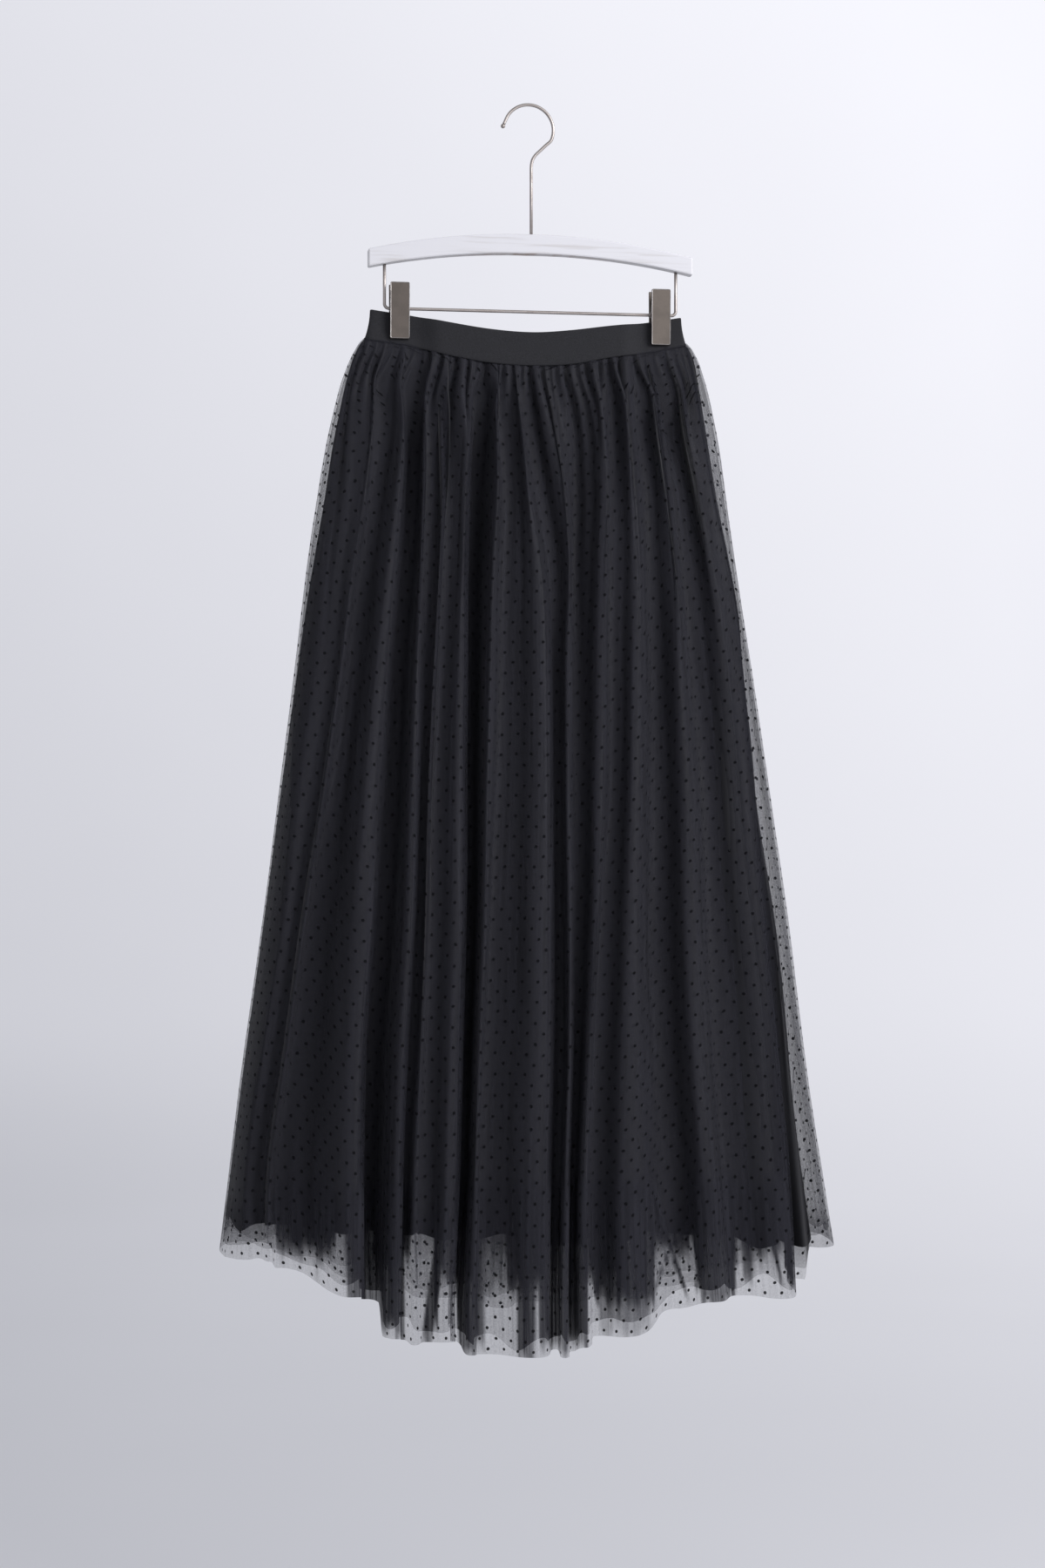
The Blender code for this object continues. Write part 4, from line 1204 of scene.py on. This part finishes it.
# %% Hook and rod
WIRE_RADIUS = 1.6
WIRE_SIDES = 18
HOOK_RADIUS = 25.0
HOOK_CENTRE = (-2.6, -23.4)
HOOK_NECK = ((14.5, -38.9), (8.8, -44.4), (4.0, -49.2), (1.5, -53.2), (0.4, -57.2), (0.0, -61.0),
             (0.0, -66.0))
HOOK_SHANK = -90.0
HOOK_TAIL = 4.0
HOOK_FOOT = -138.0
HOOK_BALL = 2.3
ROD_Z = -206.5
ROD_LEG_X = 148.0
ROD_BEND = 4.6
ROD_TOP = -154.0


def arc(centre, radius, start, end, steps):
    """Points along an arc, its angles in degrees."""
    angles = [math.radians(start + (end - start) * k / steps) for k in range(steps + 1)]
    return [(centre[0] + radius * math.cos(a), centre[1] + radius * math.sin(a)) for a in angles]


def flowing(points, count):
    """Points spread evenly along a smooth curve through the given ones."""
    points = np.array(points)
    reach = np.concatenate([[0.0], np.cumsum(np.hypot(*np.diff(points, axis=0).T))])
    at = np.linspace(0.0, reach[-1], count)
    return list(zip(through(reach, points[:, 0], at), through(reach, points[:, 1], at)))


def wire_ring(x, z, along_x, along_z):
    """A round of points about (x, 0, z), square to the wire's direction there."""
    turns = [2 * math.pi * k / WIRE_SIDES for k in range(WIRE_SIDES)]
    outs = [WIRE_RADIUS * math.cos(turn) for turn in turns]
    return [
        Vector((x + out * along_z, WIRE_RADIUS * math.sin(turn), z - out * along_x)) * MM
        for turn, out in zip(turns, outs)
    ]


def wire_piece(name, path, stands_for, ball=None):
    """A round wire along a path of (x, z) in the plane y = 0, with an optional ball beside its start."""
    shell = bmesh.new()
    path = np.array(path)
    along = np.gradient(path, axis=0)
    along /= np.hypot(*along.T)[:, None]
    loops = bridged(shell, [wire_ring(*place, *way) for place, way in zip(path, along)])
    for end in (loops[0], loops[-1]):
        bmesh.ops.edgeloop_fill(shell, edges=end)
    if ball:
        found = bmesh.ops.create_uvsphere(shell, u_segments=24, v_segments=16, radius=HOOK_BALL * MM)
        bmesh.ops.translate(shell, verts=found["verts"], vec=(ball[0] * MM, 0, ball[1] * MM))
    bmesh.ops.recalc_face_normals(shell, faces=shell.faces)
    made = finished(name, shell)
    made.data.materials.append(nickel)
    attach(made, "root")
    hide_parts(*stands_for)
    print(name, len(made.data.polygons), "faces")
    return made


bend = arc(HOOK_CENTRE, HOOK_RADIUS, 160.0, -22.0, 24)
tail = np.array(bend[0]) - np.array(bend[1])
tail = tail / np.hypot(*tail)
tip = tuple(np.array(bend[0]) + HOOK_TAIL * tail)
ball_at = tuple(np.array(bend[0]) + (HOOK_TAIL + HOOK_BALL) * tail)
hook_path = flowing([tip, *bend, *HOOK_NECK], 150) + [(0.0, HOOK_SHANK), (0.0, HOOK_FOOT)]
wire_piece("hook_wire", hook_path, ("hook", "hook_tip"), ball_at)
left_bend = arc((-ROD_LEG_X + ROD_BEND, ROD_Z + ROD_BEND), ROD_BEND, 180, 270, 12)
right_bend = arc((ROD_LEG_X - ROD_BEND, ROD_Z + ROD_BEND), ROD_BEND, 270, 360, 12)
rod_path = [(-ROD_LEG_X, ROD_TOP), (-ROD_LEG_X, ROD_TOP - 30), *left_bend, (0.0, ROD_Z), *right_bend,
            (ROD_LEG_X, ROD_TOP - 30), (ROD_LEG_X, ROD_TOP)]
wire_piece("rod_wire", rod_path, ("clip_rod",))

# %% Clip faces
FACE_WIDTH = 19.3
FACE_CORNER = 1.7
FACE_TOP = (-9.05, -181.3)
FACE_FOOT = (-7.10, -237.2)
FACE_SHEET = 0.8
FACE_RIM = 0.5
FACE_BEVEL = 0.3
FACE_SINK = 0.25
FACE_AREA = 5e-4  # square metres: only the plate's two broad faces are larger


def broad_face(shell, out):
    """The plate's broad face on the out side."""
    return max(shell.faces, key=lambda face: (face.calc_area() > FACE_AREA) * face.normal.dot(out))


def clip_face(side, at):
    """A plate on the front jaw: its outline lies in the jaw's slope, its rim turned and its middle sunk."""
    top, foot = Vector((0, *FACE_TOP)), Vector((0, *FACE_FOOT))
    down = (foot - top).normalized()
    out = Vector((0, down.z, -down.y))
    height = (foot - top).length
    corners = []
    for cx, cw, start in ((1, 0, 0), (-1, 0, 90), (-1, 1, 180), (1, 1, 270)):
        middle = (cx * (FACE_WIDTH / 2 - FACE_CORNER), FACE_CORNER if cw == 0 else height - FACE_CORNER)
        for k in range(6):
            a = math.radians(start + 18 * k)
            corners.append((middle[0] + FACE_CORNER * math.cos(a), middle[1] - FACE_CORNER * math.sin(a)))
    shell = bmesh.new()
    ring = [shell.verts.new((Vector((at + u, 0, 0)) + top + down * w) * MM) for u, w in corners]
    front = shell.faces.new(ring)
    pushed = bmesh.ops.extrude_face_region(shell, geom=[front])
    moved = [part for part in pushed["geom"] if isinstance(part, bmesh.types.BMVert)]
    bmesh.ops.translate(shell, verts=moved, vec=out * FACE_SHEET * MM)
    bmesh.ops.recalc_face_normals(shell, faces=shell.faces)
    bmesh.ops.bevel(
        shell,
        geom=list(broad_face(shell, out).edges),
        offset=FACE_BEVEL * MM,
        segments=2,
        profile=0.5,
        affect="EDGES",
        material=-1,
    )
    front = broad_face(shell, out)
    for face in shell.faces:
        face.material_index = 1
        face.smooth = True
    inner = bmesh.ops.inset_region(shell, faces=[front], thickness=FACE_RIM * MM, depth=-FACE_SINK * MM)
    for face in inner["faces"]:
        face.material_index = 1
        face.smooth = False
    front.material_index = 0
    front.smooth = False
    made = finished(f"clip_{side}_face", shell, smooth=False)
    made.data.materials.append(pewter)
    made.data.materials.append(rim_metal)
    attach(made, "root")
    return made


rim_metal = metal_material("turned_rim", (0.36, 0.34, 0.33), (0.27, 0.25, 0.24), 0.38, 0.50, 120.0)
for side, at in zip(("left", "right"), CLIP_X):
    clip_face(side, at)

# %% [markdown]
# ## What each piece stands for
# Each sheet rides on the one body and takes the place of its imported solid.

# %% Rides
for (kind, front), made in layers.items():
    node_name = f"{kind}_{'front' if front else 'back'}"
    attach(made, "root")
    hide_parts(node_name)
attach(band, "root")
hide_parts("waistband")

# %% Sizes
cad_box = [[float(v) for v in corner] for corner in cad_box]
